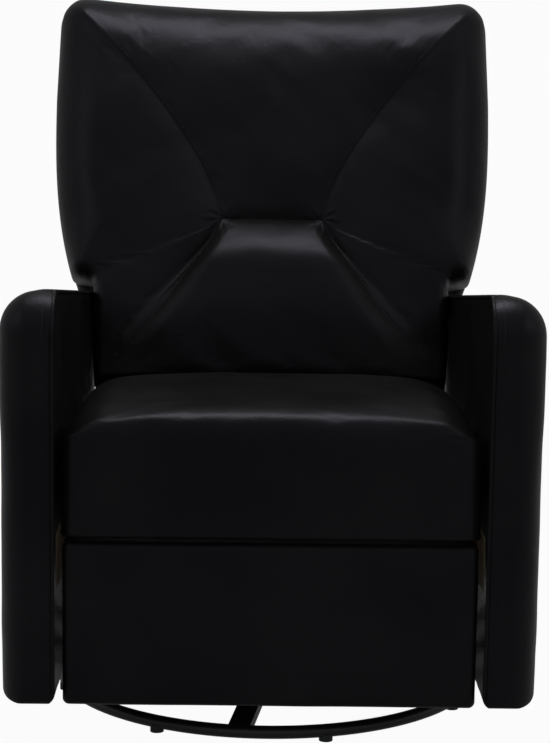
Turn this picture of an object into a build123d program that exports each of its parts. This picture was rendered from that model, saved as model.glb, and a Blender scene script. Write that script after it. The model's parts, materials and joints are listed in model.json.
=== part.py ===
from build123d import *
import os
from math import cos, pi, radians, sin

# Swivel glider recliner. X runs to the right in the front view, Y to the rear and Z up.
# The origin is on the floor, below the middle of the whole chair.
# A side view is (y, z), and its angles are measured from forwards (-Y) towards up (+Z).

# --- Arms
arm_inner = 298.0  # half the space between the arms
arm_width = 77.0
arm_front = -440.0
arm_rear = 245.0
arm_bottom = 76.0
arm_front_height = 656.0
arm_rear_height = 577.0
arm_roll_radius = 58.0  # where the front turns over into the top
arm_outer_radius = 54.0
arm_inner_radius = 10.0
arm_heel_radius = 26.0
arm_pad = 12.0  # foam and cover over the arm's frame
arm_skirt = 24.0  # how far the cover wraps back at the foot of the inner side
arm_panel = 18.0
arm_post = 42.0
arm_hole_radius = 40.0
arm_hole_pitch = 118.0
arm_hole_count = 5
arm_hole_start = 75.0  # from the front of the mechanism rail
arm_hole_height = 410.0
mechanism_rail_height = 78.0
mechanism_rail_lap = 5.0  # how far the rail reaches below the side plate

# --- Mechanism plates, in layers from the arms inwards
plate = 3.5
side_plate_thickness = 4.0
layer_gap = 1.0
pivot_radius = 4.0
pivot_clearance = 0.06
link_radius = 11.0
bolt_radius = 4.0
bolt_head_radius = 6.5
bolt_head_height = 3.0

# --- Base
swivel_y = -40.0  # the axis that the chair swivels about stands forward of the middle
ring_radius = 322.0
ring_tube_radius = 9.5
ring_lift = 5.0
glide_radius = 10.0
glide_height = 10.5
glide_count = 8
arm_count = 4
cross_arm_width = 32.0
cross_arm_height = 16.0
cross_arm_wall = 3.0
hub_radius = 92.0
base_turn = -7.5
race_radius = 50.0
race_plate_radius = 88.0
race_plate_thickness = 3.0
ball_radius = 4.5
ball_count = 24
groove_depth = 1.2
ball_clearance = 0.05
swivel_pin_radius = 8.0
swivel_head_radius = 15.0
swivel_head_height = 5.0
swivel_clearance = 0.05
base_bolt_circle = 72.0

# --- Glider
channel_width = 40.0
channel_height = 24.0
channel_wall = 3.0
channel_spacing = 140.0
tower_inner = 142.0
tower_thickness = 4.0
tower_gap = 1.5
tower_floor = 40.0
glide_pivot_spread = 200.0
glide_pivot_height = 222.0
glide_link_length = 125.0
glide_boss_radius = 16.0

# --- Chassis
cross_tube_size = 25.0
cross_tube_wall = 2.0
cross_tube_drop = 3.0  # below the swing pivots
cross_tube_front = -135.0
cross_tube_rear = 110.0
swing_front = -170.0
swing_spacing = 240.0
swing_height = 265.0
swing_length = 80.0
swing_angle = 120.0
side_plate_margin = 10.0
side_plate_front_reach = 60.0  # beyond the front swing pivots
side_plate_rear_reach = 70.0  # beyond the rear swing pivots
side_plate_crown = 25.0  # above the swing pivots
mechanism_bolt_margin = 12.0
mechanism_bolt_drop = 10.0  # of the middle bolts, below the swing pivots
bolt_reach = 15.0  # how far the mechanism bolts run into the arm's rail
rear_panel_thickness = 15.0
rear_panel_bottom = 90.0
rear_panel_top = 335.0

# --- Seat
seat_front = -438.0
seat_rear = 86.0
seat_side_clearance = 8.0
seat_frame_top = 397.0
seat_frame_depth = 47.0
seat_side_rail_width = 40.0
seat_cross_rail_width = 40.0
seat_front_rail_depth = 72.0
seat_side_rail_setback = 25.0  # behind the front band
seat_crest = 493.0
seat_rear_crest = 475.0
seat_crest_fall = 6.0  # of the crest at the cushion's front and rear
seat_crown = 20.0
seat_drawn_in = 5.0
seat_end_inset = 2.0
seat_edge_radius = 20.0
front_band_bottom = 315.0
front_band_thickness = 28.0
rail_top = 390.0

# --- Legrest, closed
drive_pivot = (-210.0, 285.0)
drive_length = 230.0
drive_angle = 255.0
reach_length = 231.0
reach_angle = 23.5
front_link_offset = 60.0
short_link_offset = 55.0
torque_tube_radius = 8.0
torque_tube_wall = 2.0
footrest_front = -435.0
footrest_bottom = 73.0
footrest_top = 307.0
footrest_half_width = 288.0
footrest_pad_thickness = 30.0
footrest_crown = 4.0
footrest_board_thickness = 15.0
footrest_board_margin = 4.0
footrest_edge_radius = 9.0

# --- Back, upright
recline = 17.0
back_foot = (227.5, 345.0)
back_hinge = (155.0, 395.0)
shell_depth = 55.0
shell_wall = 8.0
shell_half_bottom = 282.0
shell_half_waist = 294.0
shell_half_wing = 342.0  # at the wing's lower corner
shell_half_top = 372.0
shell_waist_low = 120.0
shell_waist_high = 222.0
shell_wing_foot = 243.0
shell_shoulder = 480.0
shell_fullness = 2.8  # how soon the wing reaches its full width
shell_height = 738.0
shell_top_dip = 16.0
shell_corner_set = 4.0  # how far the top corners lean in
shell_corner_radius = 40.0
shell_open_height = 180.0  # below this the shell has no side walls, for the hinge brackets
post_width = 36.0
post_depth = 32.0
post_bottom = 8.0
post_top_margin = 83.0  # below the shell's top
back_rail_height = 46.0
bracket_height = 150.0
bracket_lug = 14.0  # metal round the hinge pin's hole, on every side
bracket_neck = 10.0
cushion_bottom = 60.0
cushion_top_margin = 24.0  # below the shell's top
cushion_margin = 10.0  # inside the shell's sides
cushion_waist = 262.0  # below this the cushion fits between the arms
cushion_side = 288.0
cushion_taper = 0.04
cushion_side_depth = 100.0
cushion_top_side = 68.0
cushion_bottom_side = 88.0
cushion_seam_rise = 6.0
cushion_seam_margin = 10.0
cushion_top_middle = 100.0
cushion_bottom_middle = 140.0
cushion_puff = 46.0
cushion_side_puff = 0.10
tuft_half_length = 77.0
tuft_height = 340.0
tuft_depth = 136.0
least_bow = 0.5  # so that no panel of the cushion is dead flat

# --- Springs
spring_wire = 1.8
spring_step = 22.0
spring_half_width = 21.0
spring_bend = 0.46  # the bends' radius, in steps
seat_spring_count = 5
seat_spring_drop = 10.0  # below the top of the seat's frame
back_spring_count = 4

# --- Latch
latch_y = -170.0
latch_z = 500.0
latch_length = 120.0
latch_height = 54.0
latch_depth = 34.0
latch_wall = 2.5
latch_flange = 5.0
latch_flange_thickness = 2.2
paddle_length = 80.0
paddle_thickness = 5.0
paddle_clearance = 2.0
paddle_barrel_radius = 5.0
latch_pin_radius = 2.5
paddle_recess = 2.5

# --- Sizes that follow from the ones above
side_plate_x = arm_inner - side_plate_thickness
swing_x = side_plate_x - layer_gap - plate
rail_x = swing_x - layer_gap - plate
drive_x = rail_x - layer_gap - plate
reach_x = drive_x - layer_gap - plate
bracket_x = reach_x - layer_gap - plate
seat_half_width = arm_inner - seat_side_clearance
hole_radius = pivot_radius + pivot_clearance
ring_height = ring_lift + ring_tube_radius
cross_arm_bottom = ring_height - cross_arm_height / 2
cross_arm_top = ring_height + cross_arm_height / 2
race_top = cross_arm_top + race_plate_thickness
ball_height = race_top - groove_depth + ball_radius + ball_clearance
upper_race_bottom = ball_height - groove_depth + ball_radius + ball_clearance
upper_race_top = upper_race_bottom + race_plate_thickness
glide_link_x = tower_inner + tower_thickness + tower_gap
hanger_x = glide_link_x + tower_thickness + tower_gap
cross_tube_height = swing_height - cross_tube_drop
cross_tube_bottom = cross_tube_height - cross_tube_size / 2
seat_frame_bottom = seat_frame_top - seat_frame_depth
glide_pivots_y = (swivel_y - glide_pivot_spread / 2, swivel_y + glide_pivot_spread / 2)
channels_y = (swivel_y - channel_spacing / 2, swivel_y + channel_spacing / 2)
swivel_axis = Axis((0, swivel_y, 0), (0, 0, 1))
swings_y = (swing_front, swing_front + swing_spacing)
board_front = footrest_front + footrest_pad_thickness
board_rear = board_front + footrest_board_thickness
cushion_top = shell_height - cushion_top_margin
post_top = shell_height - post_top_margin


def step(point, length, angle):
    """The point that lies a length away in the side view, at an angle from forwards to up."""
    return (point[0] - length * cos(radians(angle)), point[1] + length * sin(radians(angle)))


drive_foot = step(drive_pivot, drive_length, drive_angle)
front_pivot = step(drive_pivot, front_link_offset, reach_angle)
front_foot = step(drive_foot, front_link_offset, reach_angle)
footrest_pivot = step(drive_foot, reach_length, reach_angle)
short_foot = step(drive_foot, -short_link_offset, drive_angle)
footrest_upper_pivot = step(footrest_pivot, -short_link_offset, drive_angle)
swing_tops = [step((y, swing_height), swing_length, swing_angle) for y in swings_y]


def base_level(height):
    """The level plane at a height, about the swivel's axis."""
    return Plane((0, swivel_y, height))


def write(piece, name):
    """Label a finished piece and write it under its name."""
    piece.part.label = name
    export_step(piece.part, f"parts/{name}.step")


def write_sides(piece, name):
    """Write a right-hand piece, and its mirror image on the left."""
    write(piece, f"{name}_right")
    with BuildPart() as left_piece:
        add(mirror(piece.part, about=Plane.YZ))
    write(left_piece, f"{name}_left")


def flat_plate(outline, x_inner, thickness, holes=(), radius=hole_radius, corner=0.0):
    """A plate in the side view with round holes, from x_inner outwards, on the right."""
    with BuildPart() as flat:
        with BuildSketch(Plane.YZ.offset(x_inner)) as flat_sketch:
            with BuildLine():
                Polyline(*outline, close=True)
            make_face()
            if corner:
                fillet(flat_sketch.vertices(), radius=corner)
            with Locations(*holes):
                Circle(radius, mode=Mode.SUBTRACT)
        extrude(amount=thickness)
    return flat


def link_pair(ends, holes, x_inner, thickness, radius=link_radius):
    """A pair of straight links, left and right, rounded about their ends."""
    with BuildPart() as links:
        with BuildSketch(Plane.YZ.offset(x_inner)):
            with Locations(*ends):
                Circle(radius)
            make_hull()
            with Locations(*holes):
                Circle(hole_radius, mode=Mode.SUBTRACT)
        extrude(amount=thickness)
        mirror(about=Plane.YZ)
    return links


def cross_pins(places, x_from, x_to, head_from=None, radius=pivot_radius, head=None):
    """Round pins along X at places in the side view, each with a head, left and right."""
    head_radius = head or radius + 2.5
    with BuildPart() as pins:
        with BuildSketch(Plane.YZ.offset(x_from)):
            with Locations(*places):
                Circle(radius)
        extrude(amount=x_to - x_from)
        if head_from is not None:
            with BuildSketch(Plane.YZ.offset(head_from)):
                with Locations(*places):
                    Circle(head_radius)
            extrude(amount=x_from - head_from if head_from < x_from else bolt_head_height)
        mirror(about=Plane.YZ)
    return pins


def sinuous_path(length, step_length, half_width):
    """The corners of a sinuous spring's centre line, which turns to and fro along a length."""
    turns = int(length / step_length) - 1
    points = [(0.0, 0.0)]
    for turn in range(1, turns + 1):
        side = 0.0 if turn == turns else half_width if turn % 2 else -half_width
        points += [(turn * step_length, points[-1][1]), (turn * step_length, side)]
    points.append((length, 0.0))
    return points


def sinuous_spring(start_plane, length):
    """One sinuous spring of round wire, which runs along a plane's X axis from its origin."""
    with BuildPart() as spring:
        with BuildLine(start_plane) as spring_line:
            FilletPolyline(
                *sinuous_path(length, spring_step, spring_half_width),
                radius=spring_bend * spring_step,
            )
        with BuildSketch(Plane(origin=start_plane.origin, z_dir=start_plane.x_dir)):
            Circle(spring_wire)
        sweep()
    return spring


os.makedirs("parts", exist_ok=True)

# ---------------------------------------------------------------- base

with BuildPart() as base_ring:
    with BuildSketch(Plane.XZ.offset(-swivel_y)):
        with Locations((ring_radius, ring_height)):
            Circle(ring_tube_radius)
    revolve(axis=swivel_axis)
write(base_ring, "base_ring")

# Four channels, open below, run from the hub into the ring, and their ends are coped to it.
with BuildPart() as base_cross_arms:
    with BuildSketch(base_level(cross_arm_bottom)):
        Circle(hub_radius)
        with PolarLocations(ring_radius / 2, arm_count, start_angle=-90 + base_turn):
            Rectangle(ring_radius, cross_arm_width)
    extrude(amount=cross_arm_height)
    with BuildSketch(base_level(cross_arm_bottom)):
        Circle(hub_radius - cross_arm_wall)
        with PolarLocations(ring_radius / 2, arm_count, start_angle=-90 + base_turn):
            Rectangle(ring_radius, cross_arm_width - 2 * cross_arm_wall)
    extrude(amount=cross_arm_height - cross_arm_wall, mode=Mode.SUBTRACT)
    with BuildSketch(base_level(cross_arm_bottom)):
        Circle(swivel_head_radius)
    extrude(amount=cross_arm_height)
    add(base_ring.part, mode=Mode.SUBTRACT)
    with BuildSketch(base_level(cross_arm_bottom)):
        with PolarLocations(base_bolt_circle, arm_count, start_angle=-90 + base_turn):
            Circle(bolt_radius)
        Circle(swivel_pin_radius)
    extrude(amount=cross_arm_height, mode=Mode.SUBTRACT)
    arm_pieces = base_cross_arms.solids().sort_by(SortBy.VOLUME)
    for scrap in arm_pieces[:-1]:
        add(scrap, mode=Mode.SUBTRACT)
write(base_cross_arms, "base_cross_arms")

with BuildPart() as ring_glides:
    with BuildSketch(base_level(0)):
        with PolarLocations(ring_radius, glide_count, start_angle=-90 + base_turn + 180 / glide_count):
            Circle(glide_radius)
    extrude(amount=glide_height)
    add(base_ring.part, mode=Mode.SUBTRACT)
write(ring_glides, "ring_glides")

# The ball race is a groove in each plate, a little larger than the balls.
groove_radius = ball_radius + ball_clearance

with BuildPart() as swivel_lower_plate:
    with BuildSketch(base_level(cross_arm_top)):
        Circle(race_plate_radius)
        Circle(swivel_pin_radius, mode=Mode.SUBTRACT)
        with PolarLocations(base_bolt_circle, arm_count, start_angle=-90 + base_turn):
            Circle(bolt_radius, mode=Mode.SUBTRACT)
    extrude(amount=race_plate_thickness)
    with BuildSketch(Plane.XZ.offset(-swivel_y)):
        with Locations((race_radius, ball_height)):
            Circle(groove_radius)
    revolve(axis=swivel_axis, mode=Mode.SUBTRACT)
write(swivel_lower_plate, "swivel_lower_plate")

with BuildPart() as swivel_balls:
    with Locations((0, swivel_y, ball_height)):
        with PolarLocations(race_radius, ball_count):
            Sphere(ball_radius)
write(swivel_balls, "swivel_balls")

with BuildPart() as swivel_pin:
    with BuildSketch(base_level(cross_arm_bottom)):
        Circle(swivel_pin_radius)
    extrude(amount=upper_race_top + ball_clearance - cross_arm_bottom)
    with BuildSketch(base_level(upper_race_top + ball_clearance)):
        Circle(swivel_head_radius)
    extrude(amount=swivel_head_height)
    chamfer(swivel_pin.edges().sort_by(Axis.Z)[-1], length=1.0)
write(swivel_pin, "swivel_pin")

with BuildPart() as base_bolts:
    with BuildSketch(base_level(cross_arm_top - cross_arm_wall - bolt_head_height)):
        with PolarLocations(base_bolt_circle, arm_count, start_angle=-90 + base_turn):
            RegularPolygon(bolt_head_radius, 6)
    extrude(amount=bolt_head_height)
    with BuildSketch(base_level(cross_arm_top - cross_arm_wall)):
        with PolarLocations(base_bolt_circle, arm_count, start_angle=-90 + base_turn):
            Circle(bolt_radius)
    extrude(amount=cross_arm_wall + race_plate_thickness)
    with BuildSketch(base_level(race_top)):
        with PolarLocations(base_bolt_circle, arm_count, start_angle=-90 + base_turn):
            Circle(bolt_head_radius)
    extrude(amount=bolt_head_height)
write(base_bolts, "base_bolts")

# ---------------------------------------------------------------- glider carrier, on the swivel

with BuildPart() as swivel_upper_plate:
    with BuildSketch(base_level(upper_race_bottom)) as upper_plate_sketch:
        Rectangle(2 * race_plate_radius, channel_spacing + channel_width)
        fillet(upper_plate_sketch.vertices(), radius=12)
        Circle(swivel_pin_radius + swivel_clearance, mode=Mode.SUBTRACT)
    extrude(amount=race_plate_thickness)
    with BuildSketch(Plane.XZ.offset(-swivel_y)):
        with Locations((race_radius, ball_height)):
            Circle(groove_radius)
    revolve(axis=swivel_axis, mode=Mode.SUBTRACT)
write(swivel_upper_plate, "swivel_upper_plate")

with BuildPart() as carrier_channels:
    with BuildSketch(Plane.YZ.offset(-tower_inner)):
        with Locations(*[(y, 0) for y in channels_y]):
            with Locations((0, upper_race_top + channel_height / 2)):
                Rectangle(channel_width, channel_height)
            with Locations((0, upper_race_top + (channel_height - channel_wall) / 2)):
                Rectangle(
                    channel_width - 2 * channel_wall,
                    channel_height - channel_wall,
                    mode=Mode.SUBTRACT,
                )
    extrude(amount=2 * tower_inner)
write(carrier_channels, "carrier_channels")

tower_top = glide_pivot_height + glide_boss_radius
tower_foot = channel_spacing / 2 + channel_width / 2
tower_shoulder = glide_pivot_spread / 2 + glide_boss_radius
tower_bolts_z = upper_race_top + channel_height / 2
tower_bolt_places = [(y, tower_bolts_z) for y in channels_y]
with BuildPart() as glide_tower:
    with BuildSketch(Plane.YZ.offset(tower_inner)) as tower_sketch:
        with BuildLine():
            Polyline(
                (swivel_y - tower_foot, tower_floor),
                (swivel_y + tower_foot, tower_floor),
                (swivel_y + tower_shoulder, glide_pivot_height),
                (swivel_y + tower_shoulder, tower_top),
                (swivel_y - tower_shoulder, tower_top),
                (swivel_y - tower_shoulder, glide_pivot_height),
                close=True,
            )
        make_face()
        fillet(tower_sketch.vertices().group_by(Axis.Y)[-1], radius=10)
        with Locations(*[(y, glide_pivot_height) for y in glide_pivots_y]):
            Circle(pivot_radius, mode=Mode.SUBTRACT)
        with Locations(*tower_bolt_places):
            Circle(bolt_radius, mode=Mode.SUBTRACT)
        with Locations((swivel_y, (tower_floor + tower_top) / 2 + 12)):
            SlotOverall(96, 60, rotation=90, mode=Mode.SUBTRACT)
    extrude(amount=tower_thickness)
write_sides(glide_tower, "glide_tower")

tower_bolts = cross_pins(
    tower_bolt_places,
    tower_inner - channel_wall,
    tower_inner + tower_thickness,
    head_from=tower_inner + tower_thickness,
    radius=bolt_radius,
    head=bolt_head_radius,
)
write(tower_bolts, "tower_bolts")

glide_upper_pins = cross_pins(
    [(y, glide_pivot_height) for y in glide_pivots_y],
    tower_inner,
    glide_link_x + tower_thickness,
    head_from=tower_inner - bolt_head_height,
)
write(glide_upper_pins, "glide_upper_pins")

# ---------------------------------------------------------------- glider links

glide_lower_height = glide_pivot_height - glide_link_length
for y, end in zip(glide_pivots_y, ("front", "rear")):
    glide_pivots = [(y, glide_pivot_height), (y, glide_lower_height)]
    glide_links = link_pair(glide_pivots, glide_pivots, glide_link_x, tower_thickness, 12.0)
    write(glide_links, f"glide_links_{end}")

# ---------------------------------------------------------------- chassis

hanger_foot = glide_pivot_spread / 2 + glide_boss_radius
hanger = flat_plate(
    [
        (cross_tube_front - cross_tube_size / 2, cross_tube_bottom),
        (cross_tube_rear + cross_tube_size / 2, cross_tube_bottom),
        (swivel_y + hanger_foot, glide_lower_height - glide_boss_radius),
        (swivel_y - hanger_foot, glide_lower_height - glide_boss_radius),
    ],
    hanger_x,
    tower_thickness,
    [(y, glide_lower_height) for y in glide_pivots_y],
    radius=pivot_radius,
)
write_sides(hanger, "hanger")

glide_lower_pins = cross_pins(
    [(y, glide_lower_height) for y in glide_pivots_y],
    glide_link_x,
    hanger_x + tower_thickness,
    head_from=hanger_x + tower_thickness,
)
write(glide_lower_pins, "glide_lower_pins")

for y, end in ((cross_tube_front, "front"), (cross_tube_rear, "rear")):
    with BuildPart() as cross_tube:
        with BuildSketch(Plane.YZ.offset(-side_plate_x)):
            with Locations((y, cross_tube_height)):
                Rectangle(cross_tube_size, cross_tube_size)
                Rectangle(
                    cross_tube_size - 2 * cross_tube_wall,
                    cross_tube_size - 2 * cross_tube_wall,
                    mode=Mode.SUBTRACT,
                )
        extrude(amount=2 * side_plate_x)
    write(cross_tube, f"cross_tube_{end}")

side_plate_front = swing_front - side_plate_front_reach
side_plate_rear = swings_y[1] + side_plate_rear_reach
side_plate_bottom = cross_tube_bottom - side_plate_margin
side_plate_top = swing_height + side_plate_crown
mechanism_bolt_places = [
    (side_plate_front + mechanism_bolt_margin, swing_height),
    (swing_front + 0.42 * swing_spacing, swing_height - mechanism_bolt_drop),
    (swing_front + 0.75 * swing_spacing, swing_height - mechanism_bolt_drop),
    (side_plate_rear - mechanism_bolt_margin, side_plate_top - mechanism_bolt_margin),
]
side_plate = flat_plate(
    [
        (side_plate_front, side_plate_bottom),
        (side_plate_rear, side_plate_bottom),
        (side_plate_rear, side_plate_top),
        (side_plate_front, side_plate_top),
    ],
    side_plate_x,
    side_plate_thickness,
    [(y, swing_height) for y in swings_y] + mechanism_bolt_places,
    radius=pivot_radius,
    corner=12.0,
)
write_sides(side_plate, "side_plate")

swing_lower_pins = cross_pins(
    [(y, swing_height) for y in swings_y],
    swing_x,
    arm_inner,
    head_from=swing_x - 1.5,
)
write(swing_lower_pins, "swing_lower_pins")

mechanism_bolts = cross_pins(
    mechanism_bolt_places,
    side_plate_x,
    arm_inner + bolt_reach,
    head_from=side_plate_x - bolt_head_height,
    head=bolt_head_radius,
)
write(mechanism_bolts, "mechanism_bolts")


def arm_body(inset, foot):
    """The arm's rounded body, drawn in by an inset on every side, down to a foot."""
    slope = (arm_front_height - arm_rear_height) / (arm_rear - arm_front)
    front = arm_front + inset
    rear = arm_rear - inset
    front_top = arm_front_height - inset - slope * inset
    rear_top = arm_rear_height - inset + slope * inset
    with BuildPart() as body:
        with BuildSketch(Plane.YZ.offset(arm_inner + inset)) as side_view:
            with BuildLine():
                Polyline((front, foot), (front, front_top), (rear, rear_top), (rear, foot), close=True)
            make_face()
            tops = side_view.vertices().group_by(Axis.Y)
            fillet(tops[-1], radius=arm_roll_radius - inset)
            fillet(side_view.vertices().sort_by(Axis.X)[-2:].sort_by(Axis.Y)[-1], radius=arm_heel_radius)
        extrude(amount=arm_width - 2 * inset)
        outer_rim = body.faces().sort_by(Axis.X)[-1].edges().sort_by(Axis.Z)[1:]
        fillet(outer_rim, radius=arm_outer_radius - inset)
        if not inset:
            inner_rim = body.faces().sort_by(Axis.X)[0].edges().sort_by(Axis.Z)[1:]
            fillet(inner_rim, radius=arm_inner_radius)
    return body


arm_form = arm_body(0.0, arm_bottom)
arm_hollow = arm_body(arm_pad, arm_bottom)
rail_front = arm_front + arm_pad + arm_skirt
rail_rear = arm_rear - arm_pad - arm_skirt
mechanism_rail_bottom = side_plate_bottom - mechanism_rail_lap
mechanism_rail_top = mechanism_rail_bottom + mechanism_rail_height
panel_outer = arm_inner + arm_pad + arm_panel
skirt_top = mechanism_rail_top

with BuildPart() as arm_cover:
    add(arm_form.part)
    add(arm_hollow.part, mode=Mode.SUBTRACT)
    with BuildSketch(Plane.YZ.offset(arm_inner)):
        with BuildLine():
            Polyline(
                (rail_front, arm_bottom),
                (rail_rear, arm_bottom),
                (rail_rear, skirt_top),
                (rail_front, skirt_top),
                close=True,
            )
        make_face()
    extrude(amount=arm_pad, mode=Mode.SUBTRACT)

# The frame is a board panel with lightening holes, a post at each end and the rail that
# the side plate is bolted to.
hole_row = [
    (rail_front + arm_hole_start + i * arm_hole_pitch, arm_hole_height)
    for i in range(arm_hole_count)
]
with BuildPart() as arm_frame:
    with BuildSketch(Plane.YZ.offset(arm_inner + arm_pad)):
        with BuildLine():
            Polyline(
                (arm_front, arm_bottom),
                (arm_front, arm_front_height),
                (arm_rear, arm_front_height),
                (arm_rear, arm_bottom),
                close=True,
            )
        make_face()
    extrude(amount=arm_width - 2 * arm_pad)
    add(arm_hollow.part, mode=Mode.INTERSECT)
    with BuildSketch(Plane.YZ.offset(panel_outer)):
        with BuildLine():
            Polyline(
                (arm_front + arm_pad + arm_post, arm_bottom),
                (arm_front + arm_pad + arm_post, arm_front_height),
                (arm_rear - arm_pad - arm_post, arm_front_height),
                (arm_rear - arm_pad - arm_post, arm_bottom),
                close=True,
            )
        make_face()
    extrude(amount=arm_width, mode=Mode.SUBTRACT)
    with BuildSketch(Plane.YZ.offset(arm_inner + arm_pad)):
        with Locations(*hole_row):
            Circle(arm_hole_radius)
    extrude(amount=arm_panel, mode=Mode.SUBTRACT)
    with BuildSketch(Plane.YZ.offset(arm_inner)):
        with BuildLine():
            Polyline(
                (rail_front, mechanism_rail_bottom),
                (rail_rear, mechanism_rail_bottom),
                (rail_rear, mechanism_rail_top),
                (rail_front, mechanism_rail_top),
                close=True,
            )
        make_face()
    extrude(amount=arm_pad)
    with BuildSketch(Plane.YZ.offset(arm_inner)):
        with Locations(*mechanism_bolt_places):
            Circle(bolt_radius)
    extrude(amount=bolt_reach, mode=Mode.SUBTRACT)
write_sides(arm_frame, "arm_frame")

# ---------------------------------------------------------------- latch, in the right arm

arm_outer = arm_inner + arm_width
flange_length = latch_length + 2 * latch_flange
flange_height = latch_height + 2 * latch_flange

with BuildPart() as arm_cover_left:
    add(mirror(arm_cover.part, about=Plane.YZ))
write(arm_cover_left, "arm_cover_left")

with BuildPart() as arm_cover_right:
    add(arm_cover.part)
    with BuildSketch(Plane.YZ.offset(arm_outer)):
        with Locations((latch_y, latch_z)):
            RectangleRounded(latch_length, latch_height, 8)
    extrude(amount=-arm_pad - 1, mode=Mode.SUBTRACT)
    with BuildSketch(Plane.YZ.offset(arm_outer)):
        with Locations((latch_y, latch_z)):
            RectangleRounded(flange_length, flange_height, 10)
    extrude(amount=-latch_flange_thickness, mode=Mode.SUBTRACT)
write(arm_cover_right, "arm_cover_right")

latch_pin_x = arm_outer - paddle_recess - paddle_thickness - paddle_barrel_radius + 2.0
latch_pin_y = latch_y + latch_length / 2 - latch_wall - paddle_barrel_radius - paddle_clearance
with BuildPart() as latch_cup:
    with BuildSketch(Plane.YZ.offset(arm_outer)):
        with Locations((latch_y, latch_z)):
            RectangleRounded(flange_length, flange_height, 10)
    extrude(amount=-latch_flange_thickness)
    with BuildSketch(Plane.YZ.offset(arm_outer)):
        with Locations((latch_y, latch_z)):
            RectangleRounded(latch_length, latch_height, 8)
    extrude(amount=-latch_depth)
    with BuildSketch(Plane.YZ.offset(arm_outer)):
        with Locations((latch_y, latch_z)):
            RectangleRounded(latch_length - 2 * latch_wall, latch_height - 2 * latch_wall, 3)
    extrude(amount=-latch_depth + latch_wall, mode=Mode.SUBTRACT)
write(latch_cup, "latch_cup")

inner_height = latch_height - 2 * latch_wall
with BuildPart() as latch_pin:
    with BuildSketch(Plane.XY.offset(latch_z - inner_height / 2)):
        with Locations((latch_pin_x, latch_pin_y)):
            Circle(latch_pin_radius)
    extrude(amount=inner_height)
write(latch_pin, "latch_pin")

paddle_height = inner_height - 2 * paddle_clearance
paddle_front = latch_pin_y - paddle_length
paddle_outer = arm_outer - paddle_recess
with BuildPart() as latch_paddle:
    with BuildSketch(Plane.XY.offset(latch_z - paddle_height / 2)) as paddle_sketch:
        with BuildLine():
            Polyline(
                (paddle_outer, latch_pin_y),
                (paddle_outer, paddle_front),
                (paddle_outer - paddle_thickness, paddle_front),
                (paddle_outer - paddle_thickness, latch_pin_y),
                close=True,
            )
        make_face()
        with Locations((latch_pin_x, latch_pin_y)):
            Circle(paddle_barrel_radius)
            Circle(latch_pin_radius + pivot_clearance, mode=Mode.SUBTRACT)
    extrude(amount=paddle_height)
    front_edges = latch_paddle.edges().filter_by(Axis.Z).sort_by(Axis.Y)[:2]
    fillet(front_edges, radius=1.8)
write(latch_paddle, "latch_paddle")

with BuildPart() as rear_panel:
    with BuildSketch(Plane.XY.offset(rear_panel_bottom)):
        with Locations((0, arm_rear - rear_panel_thickness / 2)):
            Rectangle(2 * arm_inner, rear_panel_thickness)
    extrude(amount=rear_panel_top - rear_panel_bottom)
    fillet(rear_panel.edges().filter_by(Axis.X), radius=4)
write(rear_panel, "rear_panel")

# ---------------------------------------------------------------- swing links under the seat

for y, top, end in zip(swings_y, swing_tops, ("front", "rear")):
    swing_ends = [(y, swing_height), top]
    seat_links = link_pair(swing_ends, swing_ends, swing_x, plate)
    write(seat_links, f"seat_links_{end}")

# ---------------------------------------------------------------- seat

hinge_y, hinge_z = back_hinge
lug = 20.0
seat_rail = flat_plate(
    [
        (front_pivot[0] - 21.0, front_pivot[1] - 19.0),
        (front_pivot[0] - 21.0, front_pivot[1] + 22.0),
        (front_pivot[0] + 10.0, rail_top),
        (hinge_y - 36.0, rail_top),
        (hinge_y - lug, hinge_z + 21.0),
        (hinge_y + lug, hinge_z + 21.0),
        (hinge_y + lug + 6.0, hinge_z - 15.0),
        (swing_tops[1][0] + 12.0, swing_tops[1][1] - 22.0),
        (drive_pivot[0] + 30.0, swing_tops[1][1] - 22.0),
        (drive_pivot[0] + 20.0, drive_pivot[1] - 16.0),
        (drive_pivot[0] - 20.0, drive_pivot[1] - 18.0),
    ],
    rail_x,
    plate,
    swing_tops + [front_pivot, drive_pivot, back_hinge],
    radius=pivot_radius,
)
write_sides(seat_rail, "seat_rail")

swing_upper_pins = cross_pins(swing_tops, rail_x, swing_x + plate, head_from=swing_x + plate)
write(swing_upper_pins, "swing_upper_pins")

# The drive pins end inside the torque tube, which turns about them.
with BuildPart() as legrest_pivot_pins:
    with BuildSketch(Plane.YZ.offset(drive_x)):
        with Locations(front_pivot):
            Circle(pivot_radius)
    extrude(amount=rail_x + plate - drive_x)
    with BuildSketch(Plane.YZ.offset(drive_x - 12.0)):
        with Locations(drive_pivot):
            Circle(pivot_radius)
    extrude(amount=rail_x + plate - drive_x + 12.0)
    mirror(about=Plane.YZ)
write(legrest_pivot_pins, "legrest_pivot_pins")

back_hinge_pins = cross_pins(
    [back_hinge], drive_x, rail_x + plate, head_from=drive_x - bolt_head_height
)
write(back_hinge_pins, "back_hinge_pins")

side_rail_front = seat_front + front_band_thickness + seat_side_rail_setback
with BuildPart() as seat_side_rails:
    with BuildSketch(Plane.XY.offset(seat_frame_bottom)):
        with Locations(
            (rail_x - seat_side_rail_width / 2, (side_rail_front + seat_rear) / 2),
            (seat_side_rail_width / 2 - rail_x, (side_rail_front + seat_rear) / 2),
        ):
            Rectangle(seat_side_rail_width, seat_rear - side_rail_front)
    extrude(amount=seat_frame_depth)
    with BuildSketch(Plane.YZ.offset(-rail_x - 1)):
        with Locations(front_pivot):
            Circle(link_radius + 3)
    extrude(amount=2 * rail_x + 2, mode=Mode.SUBTRACT)
write(seat_side_rails, "seat_side_rails")

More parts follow.
